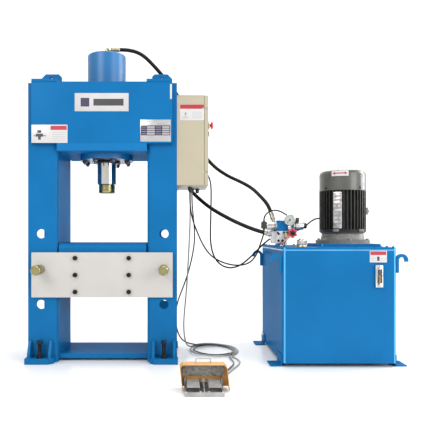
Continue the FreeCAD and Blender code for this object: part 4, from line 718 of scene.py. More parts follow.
class PRESS_OT_camera(bpy.types.Operator):
    """Sets the camera in front of the press"""
    bl_idname = "press.camera"
    bl_label = "Camera"

    def execute(self, context):
        camera()
        return {"FINISHED"}


class PRESS_OT_stage(bpy.types.Operator):
    """Sets a pale floor, a backdrop and soft studio lamps"""
    bl_idname = "press.stage"
    bl_label = "Studio stage"

    def execute(self, context):
        studio()
        return {"FINISHED"}


class PressSizes(bpy.types.PropertyGroup):
    """Diameters of the hoses and leads, and the size of the frame's welds"""
    upper_hose: FloatProperty(name="Upper hose", description="Diameter of the hose to the cylinder's top",
                              default=0.021, min=0.01, max=0.04, unit="LENGTH")
    lower_hose: FloatProperty(name="Lower hose", description="Diameter of the hose to the rod's side",
                              default=0.022, min=0.01, max=0.04, unit="LENGTH")
    lead: FloatProperty(name="Leads", description="Diameter of the valve's and the foot switch's leads",
                        default=0.008, min=0.004, max=0.016, unit="LENGTH")
    motor_cable: FloatProperty(name="Motor cable", description="Diameter of the motor's cable",
                               default=0.009, min=0.004, max=0.02, unit="LENGTH")
    weld: FloatProperty(name="Weld beads", description="Radius of the frame's heavier weld beads",
                        default=0.004, min=0.001, max=0.008, unit="LENGTH")


class PRESS_OT_hoses(bpy.types.Operator):
    """Lays the two pressure hoses and the short leads of the valve"""
    bl_idname = "press.hoses"
    bl_label = "Hoses and leads"

    def execute(self, context):
        sizes = context.scene.press_sizes
        laid_cord("hose_top", HOSE_TO_TOP, sizes.upper_hose, "hose", "hose_to_top")
        laid_cord("hose_rear", HOSE_TO_REAR, sizes.lower_hose, "hose", "hose_to_rear")
        laid_cord("lead_to_valve", VALVE_LEAD, sizes.lead, "black cable", "valve_lead")
        laid_cord("lead_between_solenoids", JUMPER_LEAD, sizes.lead, "black cable", "jumper_lead")
        laid_cord("cable_to_motor", MOTOR_CABLE, sizes.motor_cable, "black cable", "motor_cable")
        return {"FINISHED"}


class PRESS_OT_coil(bpy.types.Operator):
    """Lays the foot switch's two leads, each in loose turns on the floor"""
    bl_idname = "press.coil"
    bl_label = "Foot switch leads"

    def execute(self, context):
        grey = turns(170, -45 - 360, 0.95, 0.065)
        black = turns(130, -20 - 360, 0.80, 0.07)
        lead = context.scene.press_sizes.lead
        laid_cord("lead_to_pedal", PEDAL_DOWN + grey + PEDAL_TAIL, lead, "grey cable",
                  "pedal_lead", "cable_coil", slot="grey_rubber")
        laid_cord("second_lead_to_pedal", SECOND_DOWN + black + SECOND_TAIL, lead, "dark cable",
                  "second_lead", "cable_coil")
        return {"FINISHED"}


# ---------------------------------------------------------------- frame, table and ram

def welds(size):
    """Fillet beads on the frame: head plates, cap plates, lugs, gussets and bottom rail."""
    bm = bmesh.new()
    for side in (-1, 1):
        for way in (-1, 1):
            bead(bm, (side * 376, way * 186, 1176), (side * 376, way * 186, 1496), size)
            bead(bm, (side * 244, way * 187, 1170), (side * 374, way * 187, 1170), size)
            bead(bm, (side * 240, way * 216, 1501), (side * 372, way * 216, 1501), size * 0.75)
            bead(bm, (side * 238, way * 150, 41), (side * 238, 0, 41), size)
            for reach in (393, 379, 281, 267):
                bead(bm, (side * reach, way * 187, 32), (side * reach, way * 187, 117), size * 0.875)
                bead(bm, (side * reach, way * 190, 31), (side * reach, way * 233, 31), size * 0.875)
            bead(bm, (side * 250, way * 187, 31), (side * 266, way * 187, 31), size * 0.875)
            bead(bm, (side * 262, way * 13, 1516), (side * 370, way * 13, 1516), size)
        bead(bm, (side * 241, -212, 1133), (side * 241, -187, 1133), size)
    piece("frame_welds", bm, ["blue enamel"])


def foot_bolts():
    """Levelling bolts with a lock nut and a washer each."""
    bm = bmesh.new()
    for side in (-1, 1):
        for way in (-1, 1):
            x, y = side * 330, way * 216
            thread = [(9.4 + (k % 2), 44 + k * 1.25) for k in range(48)]
            turned(bm, [(0, 0.5), (9, 0.5), (10, 1.5), (10, 44), *thread, (9.4, 106), (0, 106)], (x, y, 0),
                   sides=28)
            hexagon(bm, (x, y, 106), (x, y, 121), 30, edge=1.2)
            hexagon(bm, (x, y, 33), (x, y, 44), 30, edge=1.2)
            turned(bm, [(10, 30), (19, 30), (19, 32.6), (18, 33), (10, 33)], (x, y, 0), sides=32)
    piece("levelling_bolt_set", bm, ["black steel"], stands_for=["levelling_bolts"])


def flange_nuts():
    """Studs, nuts and washers round the cylinder's flange, a thin dark ring under it as painted shade, and
    the screws of its gland ring.
    """
    bm = bmesh.new()
    for x, y in around(8, 127, 22.5):
        rod(bm, (x, y, 1079), (x, y, 1158), 8, sides=20, edge=1)
        turned(bm, [(8, 1099), (15, 1099), (15, 1101.4), (14.4, 1102), (8, 1102)], (x, y, 0), sides=28)
        hexagon(bm, (x, y, 1086), (x, y, 1099), 24, edge=1.2)
    # A thin dark ring under the flange: painted shade over its underside.
    turned(bm, [(82, 1101.3), (149, 1101.3), (149, 1101.9), (82, 1101.9)], (0, 0, 0))
    piece("flange_studs_and_shade_ring", bm, ["blue black"], stands_for=["flange_bolts"])
    bm = bmesh.new()
    turned(bm, [(56.0, 1088), (66, 1088), (67, 1089), (67, 1094), (56.0, 1094)], (0, 0, 0))
    coat(bm, 0)
    for x, y in around(6, 70.5):
        turned(bm, [(0, 1090.5), (1.6, 1090.5), (1.6, 1088.4), (3.0, 1088.4), (3.3, 1089), (3.3, 1094)],
               (x, y, 0), sides=16)
    coat(bm, 1)
    piece("rod_wiper", bm, ["black plastic", "black steel"])


def nose_details():
    """Two grip grooves and four set screws on the pressing nose."""
    bm = bmesh.new()
    turned(bm, [(0, 919), (40, 919), (44.5, 920.6), (47, 924), (47, 936), (45.4, 937.4), (45.4, 939.6),
                (47, 941), (47, 958), (45.4, 959.4), (45.4, 961.6), (47, 963), (47, 965.5), (45.5, 967),
                (25, 967), (25, 1027), (0, 1027)], (0, 0, 0), sides=96)
    coat(bm, 0)
    for angle in (-118, -62, 62, 118):
        x, y = math.cos(math.radians(angle)), math.sin(math.radians(angle))
        turned(bm, [(0, -4), (3, -4), (3, 0.2), (5.0, 0.2), (5.4, -0.4), (5.4, -3)],
               (47 * x, 47 * y, 949), (x, y, 0), sides=16)
    coat(bm, 1)
    piece("pressing_nose", bm, ["yellow zinc", "black steel"], body="ram", stands_for=["ram_nose"])


def pins():
    """Knurled grips near the front end of the table's two pins."""
    for body, side in (("left_pin", -1), ("right_pin", 1)):
        bm = bmesh.new()
        ridges = []
        for k in range(9):
            y = 4 + k * 6.5
            ridges += [(24.7, y), (25.6, y + 1.2), (25.6, y + 3.4), (24.7, y + 4.6)]
        turned(bm, ridges, (side * 330, -311, 500), (0, 1, 0), sides=64)
        piece(f"{body}_grip", bm, ["yellow zinc"], body=body)


def table_sockets():
    """Socket head screws of the table's plates."""
    bm = bmesh.new()
    for way in (-1, 1):
        for x in (-143, 143):
            for z in (380, 470, 560):
                turned(bm, [(0, -43), (8, -43), (8, 0), (12, 0), (12, 13.6), (10.6, 15.2), (7.2, 15.2),
                            (6.6, 14.6)], (x, way * 205, z), (0, way, 0), sides=40)
                rod(bm, (x, way * 209, z), (x, way * 219.6, z), 6.7, sides=6)
    piece("table_screw_set", bm, ["black steel"], stands_for=["table_screws"])


# ---------------------------------------------------------------- plates and labels

def label(name, low, high, face, depth=1.0, fields=(), finish="white label", rivets=False,
          slot="white_paint"):
    """A thin blank plate of colour fields; corners and fields are (across, up) pairs on a front face."""
    bm = bmesh.new()

    def slab(a, b, start, stop, edge):
        """A block between two depths in front of the face."""
        block(bm, (a[0], face - stop, a[1]), (b[0], face - start, b[1]), edge)
    slab(low, high, 0.0, depth, 0.45 * depth)
    coat(bm, 0)
    shades = [finish]
    for step, (kind, a, b) in enumerate(fields):
        if kind not in shades:
            shades.append(kind)
        slab(a, b, depth - 0.05, depth + 0.2 + 0.03 * step, 0.0)
        coat(bm, shades.index(kind))
    if rivets:
        shades.append("bright steel")
        for across in (low[0] + 6, high[0] - 6):
            for up in (low[1] + 6, high[1] - 6):
                ball(bm, (across, face - depth, up), 2.6)
        coat(bm, len(shades) - 1)
    piece(name, bm, shades)


def labels():
    """Blank plates and stickers: fields of colour where the real ones carry print, and a white strip at the
    head's right end that is a painted highlight.
    """
    label("head_blank_plate", (-144, 1341), (143, 1438), HEAD_FRONT, 2.0, finish="plate white",
          fields=[("violet ink", (-112, 1366), (-66, 1412)), ("dark ink", (-44, 1371), (116, 1407))])
    rules = [("grey rule", (-262, z), (-192, z + 2.6)) for z in (1184, 1195, 1206, 1217, 1228)]
    label("left_sticker", (-374, 1173), (-182, 1270), HEAD_FRONT, 1.0, fields=[
        ("red ink", (-272, 1242), (-186, 1264)), *rules,
        ("dark ink", (-342, 1226), (-322, 1240)), ("dark ink", (-350, 1206), (-312, 1222)),
        ("dark ink", (-338, 1190), (-324, 1206)), ("grey ink", (-362, 1208), (-350, 1214)),
        ("grey ink", (-312, 1208), (-296, 1214))])
    cells = [("violet ink", (208, 1213), (364, 1266))]
    for row in range(4):
        z = 1217 + row * 12
        cells += [("plate silver", (a, z), (b, z + 8)) for a, b in ((240, 282), (322, 360))]
        cells += [("grey rule", (a, z + 3), (b, z + 5)) for a, b in ((212, 234), (288, 316))]
    label("right_nameplate", (205, 1180), (367, 1297), HEAD_FRONT, 1.4, finish="plate silver",
          slot="aluminium", rivets=True,
          fields=[("grey rule", (210, 1286), (362, 1288)), *cells])
    # A white strip at the head plate's right end: a painted highlight of the glare on that edge.
    label("head_edge_painted_highlight", (363, 1407), (373, 1486), HEAD_FRONT, 0.8)
    label("box_sticker", (416, 1299), (546, 1385), -185, 0.8, fields=[
        ("red ink", (417, 1361), (545, 1384)), ("grey ink", (430, 1312), (462, 1314)),
        ("grey ink", (436, 1320), (456, 1322)), ("grey ink", (442, 1328), (450, 1342)),
        *[("grey rule", (482, z), (534, z + 2.6)) for z in (1312, 1322, 1332, 1342)]])
    label("tank_sticker", (1395, 542), (1483, 602), -302, 0.8, fields=[
        ("red ink", (1398, 580), (1480, 599)), ("dark ink", (1433, 550), (1445, 572)),
        ("grey rule", (1401, 552), (1424, 554)), ("grey rule", (1401, 562), (1424, 564)),
        ("grey rule", (1453, 552), (1476, 554)), ("grey rule", (1453, 562), (1476, 564))])


# ---------------------------------------------------------------- control box

def box_details():
    """Lips, ears, seal and screws of the control box, and the locks, plate and louvres on its door."""
    bm = bmesh.new()
    block(bm, (400, -187, 1431), (549, 167, 1434.5), 1.0)
    block(bm, (400, -187, 950.5), (549, 167, 953.5), 1.0)
    for z in (1409, 976):
        for y in (-150, 130):
            block(bm, (399.4, y, z - 12), (401.6, y + 20, z + 36 if z > 1200 else z - 36), 0.6)
    coat(bm, 0)
    for y in (-183.4, 157.4):
        block(bm, (547.4, y, 953.6), (549.6, y + 6, 1431.4), 0.4)
    for z in (953.6, 1425.4):
        block(bm, (547.4, -177.4, z), (549.6, 157.4, z + 6), 0.4)
    coat(bm, 0)
    for z in (1022, 1363):
        rod(bm, (539, -187, z), (539, -184.6, z), 4.2, sides=20, edge=0.8)
    coat(bm, 1)
    piece("box_trim", bm, ["beige enamel", "bright steel"])
    bm = bmesh.new()
    for z in (1050, 1335):
        turned(bm, [(0, 0), (12, 0), (12, 2.4), (10.6, 3.4), (4.6, 3.4), (4.6, 1.6), (0, 1.6)],
               (574, 140, z), (1, 0, 0), sides=36)
        block(bm, (575.2, 138.6, z - 4.2), (577.0, 141.4, z + 4.2), 0.3)
    coat(bm, 0)
    block(bm, (573.6, -60, 1300), (575.0, 70, 1380), 0.5)
    coat(bm, 1)
    for y in (-54, 64):
        for z in (1306, 1374):
            ball(bm, (575, y, z), 2.4)
    coat(bm, 0)
    for k in range(9):
        block(bm, (573.4, -40, 1004 + k * 9), (576.2, 60, 1008 + k * 9), 0.9)
    coat(bm, 2)
    piece("door_hardware", bm, ["bright steel", "plate silver", "beige enamel"], body="door")


def buttons():
    """The emergency stop with its collar, and the start button's ring."""
    bm = bmesh.new()
    turned(bm, [(15.2, 0), (24, 0), (24, 1.6), (23, 2.4), (15.2, 2.4)], STOP, (1, 0, 0))
    coat(bm, 0)
    turned(bm, [(9.4, 0), (15.4, 0), (15.4, 5.4), (14.4, 6.4), (9.4, 6.4)], STOP, (1, 0, 0))
    turned(bm, [(11.3, 0), (15.4, 0), (15.4, 3.2), (14.2, 4.0), (11.3, 4.0)], START, (1, 0, 0))
    coat(bm, 1)
    piece("button_collars", bm, ["yellow plastic", "bright steel"], body="door")
    bm = bmesh.new()
    turned(bm, [(0, -17), (9, -17), (9, 12), (15, 12), (18.6, 13.2), (20, 15), (20, 18), (19.2, 20),
                (17, 22), (12.6, 24.6), (7, 26), (0, 26.2)], STOP, (1, 0, 0), sides=64)
    for y, z in around(20, 19.8, centre=STOP[1:]):
        rod(bm, (STOP[0] + 14.6, y, z), (STOP[0] + 18.4, y, z), 1.1, sides=8)
    coat(bm, 0)
    for k in range(3):
        pipe(bm, [(STOP[0] + 25.4, *spot) for spot in around(18, 9, 120 * k, STOP[1:])[:5]], 0.7)
    coat(bm, 1)
    piece("stop_mushroom", bm, ["red plastic", "white label"], body="estop",
          stands_for=["estop_button"])


def gland_nuts():
    """Hexagon flats, grip ribs and lock nuts on the control box's cable glands."""
    bm = bmesh.new()
    spots = [((472, -60, 952), (0, 0, -1)), ((475, -22, 952), (0, 0, -1)), ((486, 22, 952), (0, 0, -1)),
             ((518, 70, 952), (0, 0, -1)), ((529, 165, 1090), (0, 1, 0))]
    for (x, y, z), way in spots:
        a, b = Vector((x, y, z)), Vector(way)
        hexagon(bm, tuple(a), tuple(a + b * 7.5), 23.4, edge=0.9)
        turned(bm, [(4.1, 7.5), (11, 7.5), (11, 8.5), (9.6, 9.5), (9.6, 20), (8.4, 24), (6.2, 26.4),
                    (4.1, 26.4)], (x, y, z), way, sides=32)
        across = b.orthogonal().normalized()
        other = b.cross(across)
        for u, v in around(14, 9.5):
            out = across * u + other * v
            rod(bm, tuple(a + out + b * 10), tuple(a + out + b * 19), 0.9, sides=6)
    piece("gland_set", bm, ["black plastic"], stands_for=["cable_glands"])


# ---------------------------------------------------------------- fittings

def sleeve(bm, base, way, hose, length):
    """A crimped hose sleeve with pressed grooves and a rolled lip."""
    r = hose / 2 + 3
    profile = [(0, 0), (hose / 2 - 1, 0), (r - 0.8, 2.5), (r, 4)]
    count = max(2, round((length - 14) / 7))
    for k in range(count):
        z = 7 + k * (length - 14) / count
        profile += [(r, z), (r - 1.3, z + 1.4), (r - 1.3, z + 4.2), (r, z + 5.6)]
    profile += [(r, length - 3), (hose / 2 + 1, length - 0.6), (hose / 2, length), (0, length)]
    turned(bm, profile, base, way, sides=40)


def hose_ends():
    """Elbows, unions, nuts and crimped sleeves at the ends of the two pressure hoses."""
    bm = bmesh.new()
    hexagon(bm, (0, 0, 1700), (0, 0, 1714), 30, edge=1.4)
    pipe(bm, [(0, 0, 1712), (0, 0, 1728), (0, 0, 1740), (12, 0, 1740), (28, 0, 1740)], 10.2)
    coat(bm, 0)
    hexagon(bm, (16, 0, 1740), (30, 0, 1740), 22.5, edge=1.2)
    sleeve(bm, (30, 0, 1740), (1, 0, 0), 21, 45)
    coat(bm, 1)
    piece("top_hose_end", bm, ["yellow zinc", "turned brass"], stands_for=["hose_fittings"])
    bm = bmesh.new()
    turned(bm, [(10, 0), (20, 0), (20, 12), (18.4, 14), (10, 14)], (0, 108, 1220), (0, 1, 0))
    hexagon(bm, (0, 122, 1220), (0, 142, 1220), 30, edge=1.4)
    rod(bm, (0, 108, 1220), (0, 250, 1220), 10.5)
    hexagon(bm, (0, 216, 1220), (0, 240, 1220), 30, edge=1.4)
    pipe(bm, [(0, 236, 1220), (0, 252, 1220), (0, 262, 1220), (14, 262, 1220), (28, 262, 1220)], 11)
    hexagon(bm, (15, 262, 1220), (30, 262, 1220), 28, edge=1.2)
    coat(bm, 0)
    sleeve(bm, (30, 262, 1220), (1, 0, 0), 22, 40)
    coat(bm, 1)
    piece("rear_hose_end", bm, ["bright steel", "turned brass"], stands_for=["hose_fittings"])
    bm = bmesh.new()
    lean, reach = (-0.2315, 0.3904, 0.891), (-0.87, 0.42, 0.26)
    turned(bm, [(9, 705), (15, 705), (15, 709), (13.5, 711), (9, 711)], (934, -90, 0), sides=36)
    hexagon(bm, (934, -90, 711), (934, -90, 726), 27, edge=1.2)
    rod(bm, (934, -90, 720), (934, -90, 764), 9)
    hexagon(bm, (934, -90, 733), (934, -90, 755), 27, edge=1.2)
    ball(bm, (934, -90, 767), 9.6, 24)
    near = Vector((934, -90, 767)) + Vector(lean) * 2
    hexagon(bm, tuple(near), tuple(near + Vector(lean) * 11), 25, edge=1.0)
    hexagon(bm, (903, -94, 691), (921, -94, 691), 30, edge=1.4)
    ball(bm, (903, -94, 691), 13, 24)
    near = Vector((903, -94, 691))
    hexagon(bm, tuple(near + Vector(reach) * 4), tuple(near + Vector(reach) * 12), 27, edge=1.0)
    rod(bm, (991, -140, 567), (991, -140, 669), 7, sides=24)
    hexagon(bm, (991, -140, 655), (991, -140, 668), 20, edge=1.0)
    coat(bm, 0)
    sleeve(bm, (934, -90, 767), lean, 21, 46)
    sleeve(bm, (903, -94, 691), reach, 22, 26)
    coat(bm, 1)
    piece("valve_hose_ends", bm, ["bright steel", "turned brass"], stands_for=["hose_fittings"])


# ---------------------------------------------------------------- valves, gauge and wheel

def valve_details():
    """Screws, seals and coils of the double solenoid valve, on its manifold."""
    bm = bmesh.new()
    for x in (958, 1020):
        for y in (-146, -114):
            turned(bm, [(0, 758), (2.6, 758), (2.6, 763.2), (4.2, 763.2), (4.8, 762.6), (4.8, 760)],
                   (x, y, 0), sides=24)
    coat(bm, 0)
    block(bm, (941.5, -154.5, 703.5), (1036.5, -105.5, 706.2), 0.5)
    coat(bm, 1)
    for z in (712, 755):
        for x in (950, 1028):
            rod(bm, (x, -154.4, z), (x, -152, z), 2.6, sides=16, edge=0.6)
    coat(bm, 0)
    piece("valve_hardware", bm, ["black steel", "black rubber"])
    bm = bmesh.new()
    for side, edge in ((-1, 943), (1, 1035)):
        way = (side, 0, 0)
        turned(bm, [(0, 0), (24, 0), (24, 3), (22.6, 4), (22.6, 50), (21.4, 54.5), (18, 57.5),
                    (14, 58.4), (0, 58.4)], (edge, -130, 733.5), way, sides=48)
    coat(bm, 0)
    for side, edge in ((-1, 943), (1, 1035)):
        way = (side, 0, 0)
        profile = [(12, 57)]
        for k in range(5):
            profile += [(14.4, 58.8 + k * 2.6), (15.2, 60 + k * 2.6), (14.4, 61.2 + k * 2.6)]
        turned(bm, profile + [(9, 74), (5, 75.5), (0, 75.5)], (edge, -130, 733.5), way, sides=32)
        turned(bm, [(22.4, 8), (23.3, 8.6), (23.3, 11.4), (22.4, 12)], (edge, -130, 733.5), way, sides=48)
    coat(bm, 1)
    for x, low, high in ((874, 719.5, 755.5), (1050, 754.5, 777.4)):
        block(bm, (x - 14, -154, low), (x + 14, -120, high), 3.5, 3)
        rod(bm, (x, -156, (low + high) / 2), (x, -153, (low + high) / 2), 3.2, sides=16, edge=0.6)
        block(bm, (x - 11, -155.0, low + 4), (x + 11, -153.4, low + 8), 0.5)
    rod(bm, (874, -140, 711), (874, -140, 720.5), 7, far=8.4, sides=24)
    rod(bm, (874, -140, 755), (874, -140, 763), 8.4, far=6, sides=24)
    rod(bm, (1036, -128, 769.2), (1047, -128, 764), 6, far=7.4, sides=24)
    coat(bm, 2)
    piece("solenoid_set", bm, ["turned steel", "black steel", "black plastic"],
          stands_for=["solenoids"])
    bm = bmesh.new()
    block(bm, (939, -160, 637), (983, -109, 705), 1.6, 3)
    block(bm, (921, -111, 637), (983, -70, 705), 1.6, 3)
    coat(bm, 0)
    for x, z in ((950, 652), (972, 652), (950, 690)):
        turned(bm, [(0, 1.2), (3.4, 1.2), (3.4, 2.4), (6.4, 2.4), (7, 1.8), (7, 0)], (x, -160, z),
               FRONT, sides=28)
    for x in (945, 978):
        turned(bm, [(0, 1.2), (2.6, 1.2), (2.6, 3.6), (4.6, 3.6), (5, 3), (5, 0)], (x, -160, 698),
               FRONT, sides=20)
    coat(bm, 1)
    piece("manifold_block", bm, ["aluminium", "black steel"], stands_for=["manifold"])
    bm = bmesh.new()
    pipe(bm, [(1003, -176, 676), (1003, -190, 676), (994, -196, 667), (980, -196, 652), (968, -190, 640),
              (963, -182, 631), (962, -178, 622), (962, -178, 616)], 4.6)
    coat(bm, 0)
    hexagon(bm, (1003, -187, 676), (1003, -177, 676), 15, edge=0.8)
    hexagon(bm, (962, -178, 619), (962, -178, 630), 15, edge=0.8)
    coat(bm, 1)
    piece("drain_pipe", bm, ["copper", "brass"])


def gauge():
    """The pressure gauge: bezel, dial with ticks, pointer and glass."""
    bm = bmesh.new()
    turned(bm, [(0, 0), (27, 0), (27.4, 3), (28, 4), (28, 20), (30, 21), (30.4, 22.5), (30, 25),
                (28.8, 26), (27.2, 26), (26.6, 25.2), (26.4, 20)], DIAL, FRONT, sides=72)
    rod(bm, (1008, -169, 704), (1008, -169, 737), 6, sides=24)
    hexagon(bm, (1008, -169, 716), (1008, -169, 730), 17, edge=1.0)
    coat(bm, 0)
    rod(bm, (1008, -176.2, 764), (1008, -176.9, 764), 26.6, sides=72)
    coat(bm, 1)
    for k in range(41):
        turn = math.radians(225 - 270 * k / 40)
        inner = 19.2 if k % 5 == 0 else 21.4
        c, s = math.cos(turn), math.sin(turn)
        side = Vector((-s, 0, c)) * (0.42 if k % 5 == 0 else 0.22)
        a, b = (Vector((DIAL[0] + r * c, -176.9, DIAL[2] + r * s)) for r in (inner, 23.6))
        sheet(bm, [tuple(a - side), tuple(b - side), tuple(b + side), tuple(a + side)], (0, -0.2, 0))
    rod(bm, (1008, -176.5, 764), (1008, -178.6, 764), 2.4, sides=20)
    coat(bm, 2)
    for k in range(9):
        turn = math.radians(225 - 270 * k / 8)
        block(bm, (1008 + 15.4 * math.cos(turn) - 1.5, -177.1, 764 + 15.4 * math.sin(turn) - 0.8),
              (1008 + 15.4 * math.cos(turn) + 1.5, -176.85, 764 + 15.4 * math.sin(turn) + 0.8))
    coat(bm, 3)
    piece("gauge_body", bm, ["chrome", "dial white", "dark ink", "grey ink"],
          stands_for=["gauge_case"])
    bm = bmesh.new()
    turned(bm, [(0, 24.1), (26.6, 24.1), (26.6, 23.3), (0, 23.3)], DIAL, FRONT, sides=64)
    piece("gauge_glass", bm, ["glass"])


def wheel():
    """The relief valve's red wheel: six round lobes on a dished web, and its brass hub."""
    bm = bmesh.new()
    rod(bm, (1015, -220, 693), (1015, -208, 693), 19, sides=64, edge=2)
    for x, z in around(6, 18, 30, WHEEL):
        rod(bm, (x, -220, z), (x, -208, z), 8, sides=36, edge=2.2)
    turned(bm, [(7.1, -1), (12, -1), (12, 5), (11, 6), (7.1, 6)], (1015, -208, 693), (0, 1, 0), sides=40)
    coat(bm, 0)
    turned(bm, [(0, 0), (11, 0), (12, 1), (12, 2.2), (11, 2.8), (7, 2.8), (0, 2.8)], (1015, -220, 693),
           FRONT, sides=40)
    coat(bm, 1)
    hexagon(bm, (1015, -222, 693), (1015, -219.5, 693), 12, edge=0.5)
    coat(bm, 2)
    piece("red_wheel", bm, ["red plastic", "black steel", "brass"], body="wheel",
          stands_for=["handwheel"])
    bm = bmesh.new()
    block(bm, (983.2, -178, 669), (1035, -112, 704.9), 1.6, 3)
    rod(bm, (1015, -208, 693), (1015, -176, 693), 7, sides=32)
    hexagon(bm, (1015, -190, 693), (1015, -177, 693), 22, edge=1.2)
    coat(bm, 0)
    for x, z in ((1028, 677), (992, 698)):
        turned(bm, [(0, 1.2), (2.4, 1.2), (2.4, 3.2), (4.2, 3.2), (4.6, 2.6), (4.6, 0)], (x, -178, z),
               FRONT, sides=20)
    coat(bm, 1)
    for k in range(7):
        turned(bm, [(7, 0), (7.7, 0.7), (7, 1.4)], (1015, -192 - k * 1.7, 693), FRONT, sides=24)
    coat(bm, 0)
    piece("relief_block", bm, ["brass steel", "black steel"], stands_for=["relief_valve"])


# ---------------------------------------------------------------- tank

def hexagon_screw(bm, x, y, z, flats, thick=5.0):
    """A hexagonal screw head on a washer, standing on a level face."""
    turned(bm, [(0, z), (flats * 0.78, z), (flats * 0.78, z + 1), (flats * 0.7, z + 1.5), (0, z + 1.5)],
           (x, y, 0), sides=24)
    hexagon(bm, (x, y, z + 1.2), (x, y, z + 1.2 + thick), flats, edge=0.8)


def tank_details():
    """Lid screws, a seal round the lid painted a lighter blue as a highlight, weld seams, a drain plug and
    the feet's welds.
    """
    bm = bmesh.new()
    for k in range(7):
        x = 962 + k * (1520 - 962) / 6
        for y in (-290, 386):
            hexagon_screw(bm, x, y, 619, 10)
    for k in range(1, 7):
        y = -290 + k * (386 + 290) / 7
        for x in (958, 1524):
            hexagon_screw(bm, x, y, 619, 10)
    piece("lid_screws", bm, ["blue enamel"])
    bm = bmesh.new()
    # The seal round the lid's rim, in the lighter blue that paints a highlight on the lid's edge.
    rim = [(1241, 393.2, 605)]
    for k, (x, y) in enumerate(((966, 376.6), (966, -282), (1516, -282), (1516, 376.6))):
        for step in range(7):
            turn = math.radians(90 + 90 * k + 15 * step)
            rim.append((x + 16.6 * math.cos(turn), y + 16.6 * math.sin(turn), 605))
    pipe(bm, rim + rim[:1], 4.8)
    coat(bm, 0)
    rod(bm, (946.5, 330, 52), (938, 330, 52), 15, sides=32, edge=1)
    hexagon(bm, (939, 330, 52), (930, 330, 52), 19, edge=1)
    coat(bm, 1)
    piece("tank_trim", bm, ["rim highlight enamel", "bright steel"])
    bm = bmesh.new()
    for side, edge in ((-1, 946), (1, 1536)):
        for low, high in ((-280, -174), (270, 376)):
            bead(bm, (edge + side * 2, low, 60), (edge + side * 2, high, 60), 3)
        for y in (-280, 376):
            for across in (-8.5, 8.5):
                bead(bm, (edge + side, y + across, 490), (edge + side, y + across, 550), 2.6)
    for x in (-165, 165):
        bead(bm, (1350 + x * 1.01, -140, 620), (1350 + x * 1.01, 180, 620), 2.6)
    for y in (-165, 165):
        bead(bm, (1190, 20 + y * 1.01, 620), (1510, 20 + y * 1.01, 620), 2.6)
    for x in (947, 980):
        bead(bm, (x, -150, 620), (x, -78, 620), 2.2)
    piece("tank_welds", bm, ["blue enamel"])


def filler():
    """The filler cap: a knurled chrome cap over a brass neck ring."""
    bm = bmesh.new()
    turned(bm, [(0, 613), (15.7, 613), (15.7, 629.3), (27, 629.3), (28, 631), (28, 633), (26.6, 634),
                (26.6, 650), (27.2, 652), (27.2, 655), (25, 658), (17, 660), (15, 664), (9, 665),
                (0, 665)], (*FILLER, 0), sides=72)
    for x, y in around(36, 26.6, centre=FILLER):
        rod(bm, (x, y, 634.5), (x, y, 649.5), 1.3, sides=6)
    piece("filler_cap_knurled", bm, ["chrome"], body="cap", stands_for=["filler_cap"])
    bm = bmesh.new()
    turned(bm, [(20, 619.2), (30, 619.2), (30, 621), (29, 622), (26.4, 622), (26.4, 627.6), (25.6, 628.8),
                (20, 628.8)], (*FILLER, 0), sides=48)
    coat(bm, 0)
    for x, y in around(6, 28, centre=FILLER):
        ball(bm, (x, y, 622), 1.7, 10)
    coat(bm, 1)
    piece("filler_neck_ring", bm, ["brass", "bright steel"])


def oil_gauge():
    """The tank's level gauge: a framed window, its glass with oil and a scale, and two bolts."""
    bm = bmesh.new()
    block(bm, (1421, -315, 413), (1461, -302, 529), 4, 3)
    coat(bm, 0)
    block(bm, (1429, -316.0, 436), (1453, -314.6, 506), 0.5)
    coat(bm, 1)
    for z in (441, 441 + 16, 441 + 32, 441 + 48, 501):
        block(bm, (1430.5, -316.6, z - 0.6), (1434.5, -315.8, z + 0.6))
    coat(bm, 2)
    block(bm, (1430, -316.5, 485.5), (1452, -315.9, 487.5))
    block(bm, (1430, -316.5, 453.5), (1452, -315.9, 455.5))
    coat(bm, 3)
    rod(bm, (1441, -318.6, 438), (1441, -318.6, 478), 4.2, sides=24)
    coat(bm, 4)
    for z in (427, 515):
        turned(bm, [(0, 0), (11.4, 0), (11.4, 1.6), (10.4, 2.4), (0, 2.4)], (1441, -315, z), FRONT,
               sides=36)
        hexagon(bm, (1441, -317, z), (1441, -325, z), 16, edge=1)
    for x in (1429.4, 1452.6):
        rod(bm, (x, -318.8, 434), (x, -318.8, 508), 1.7, sides=12)
    coat(bm, 5)
    piece("level_gauge_body", bm,
          ["aluminium", "dark ink", "white label", "red ink", "oil", "bright steel"],
          stands_for=["level_gauge"])
    bm = bmesh.new()
    turned(bm, [(5.6, -35), (6.6, -35), (6.6, 35), (5.6, 35), (5.6, -35)], (1441, -318.8, 471), (0, 0, 1),
           sides=32)
    piece("level_gauge_glass", bm, ["glass"])


# ---------------------------------------------------------------- motor

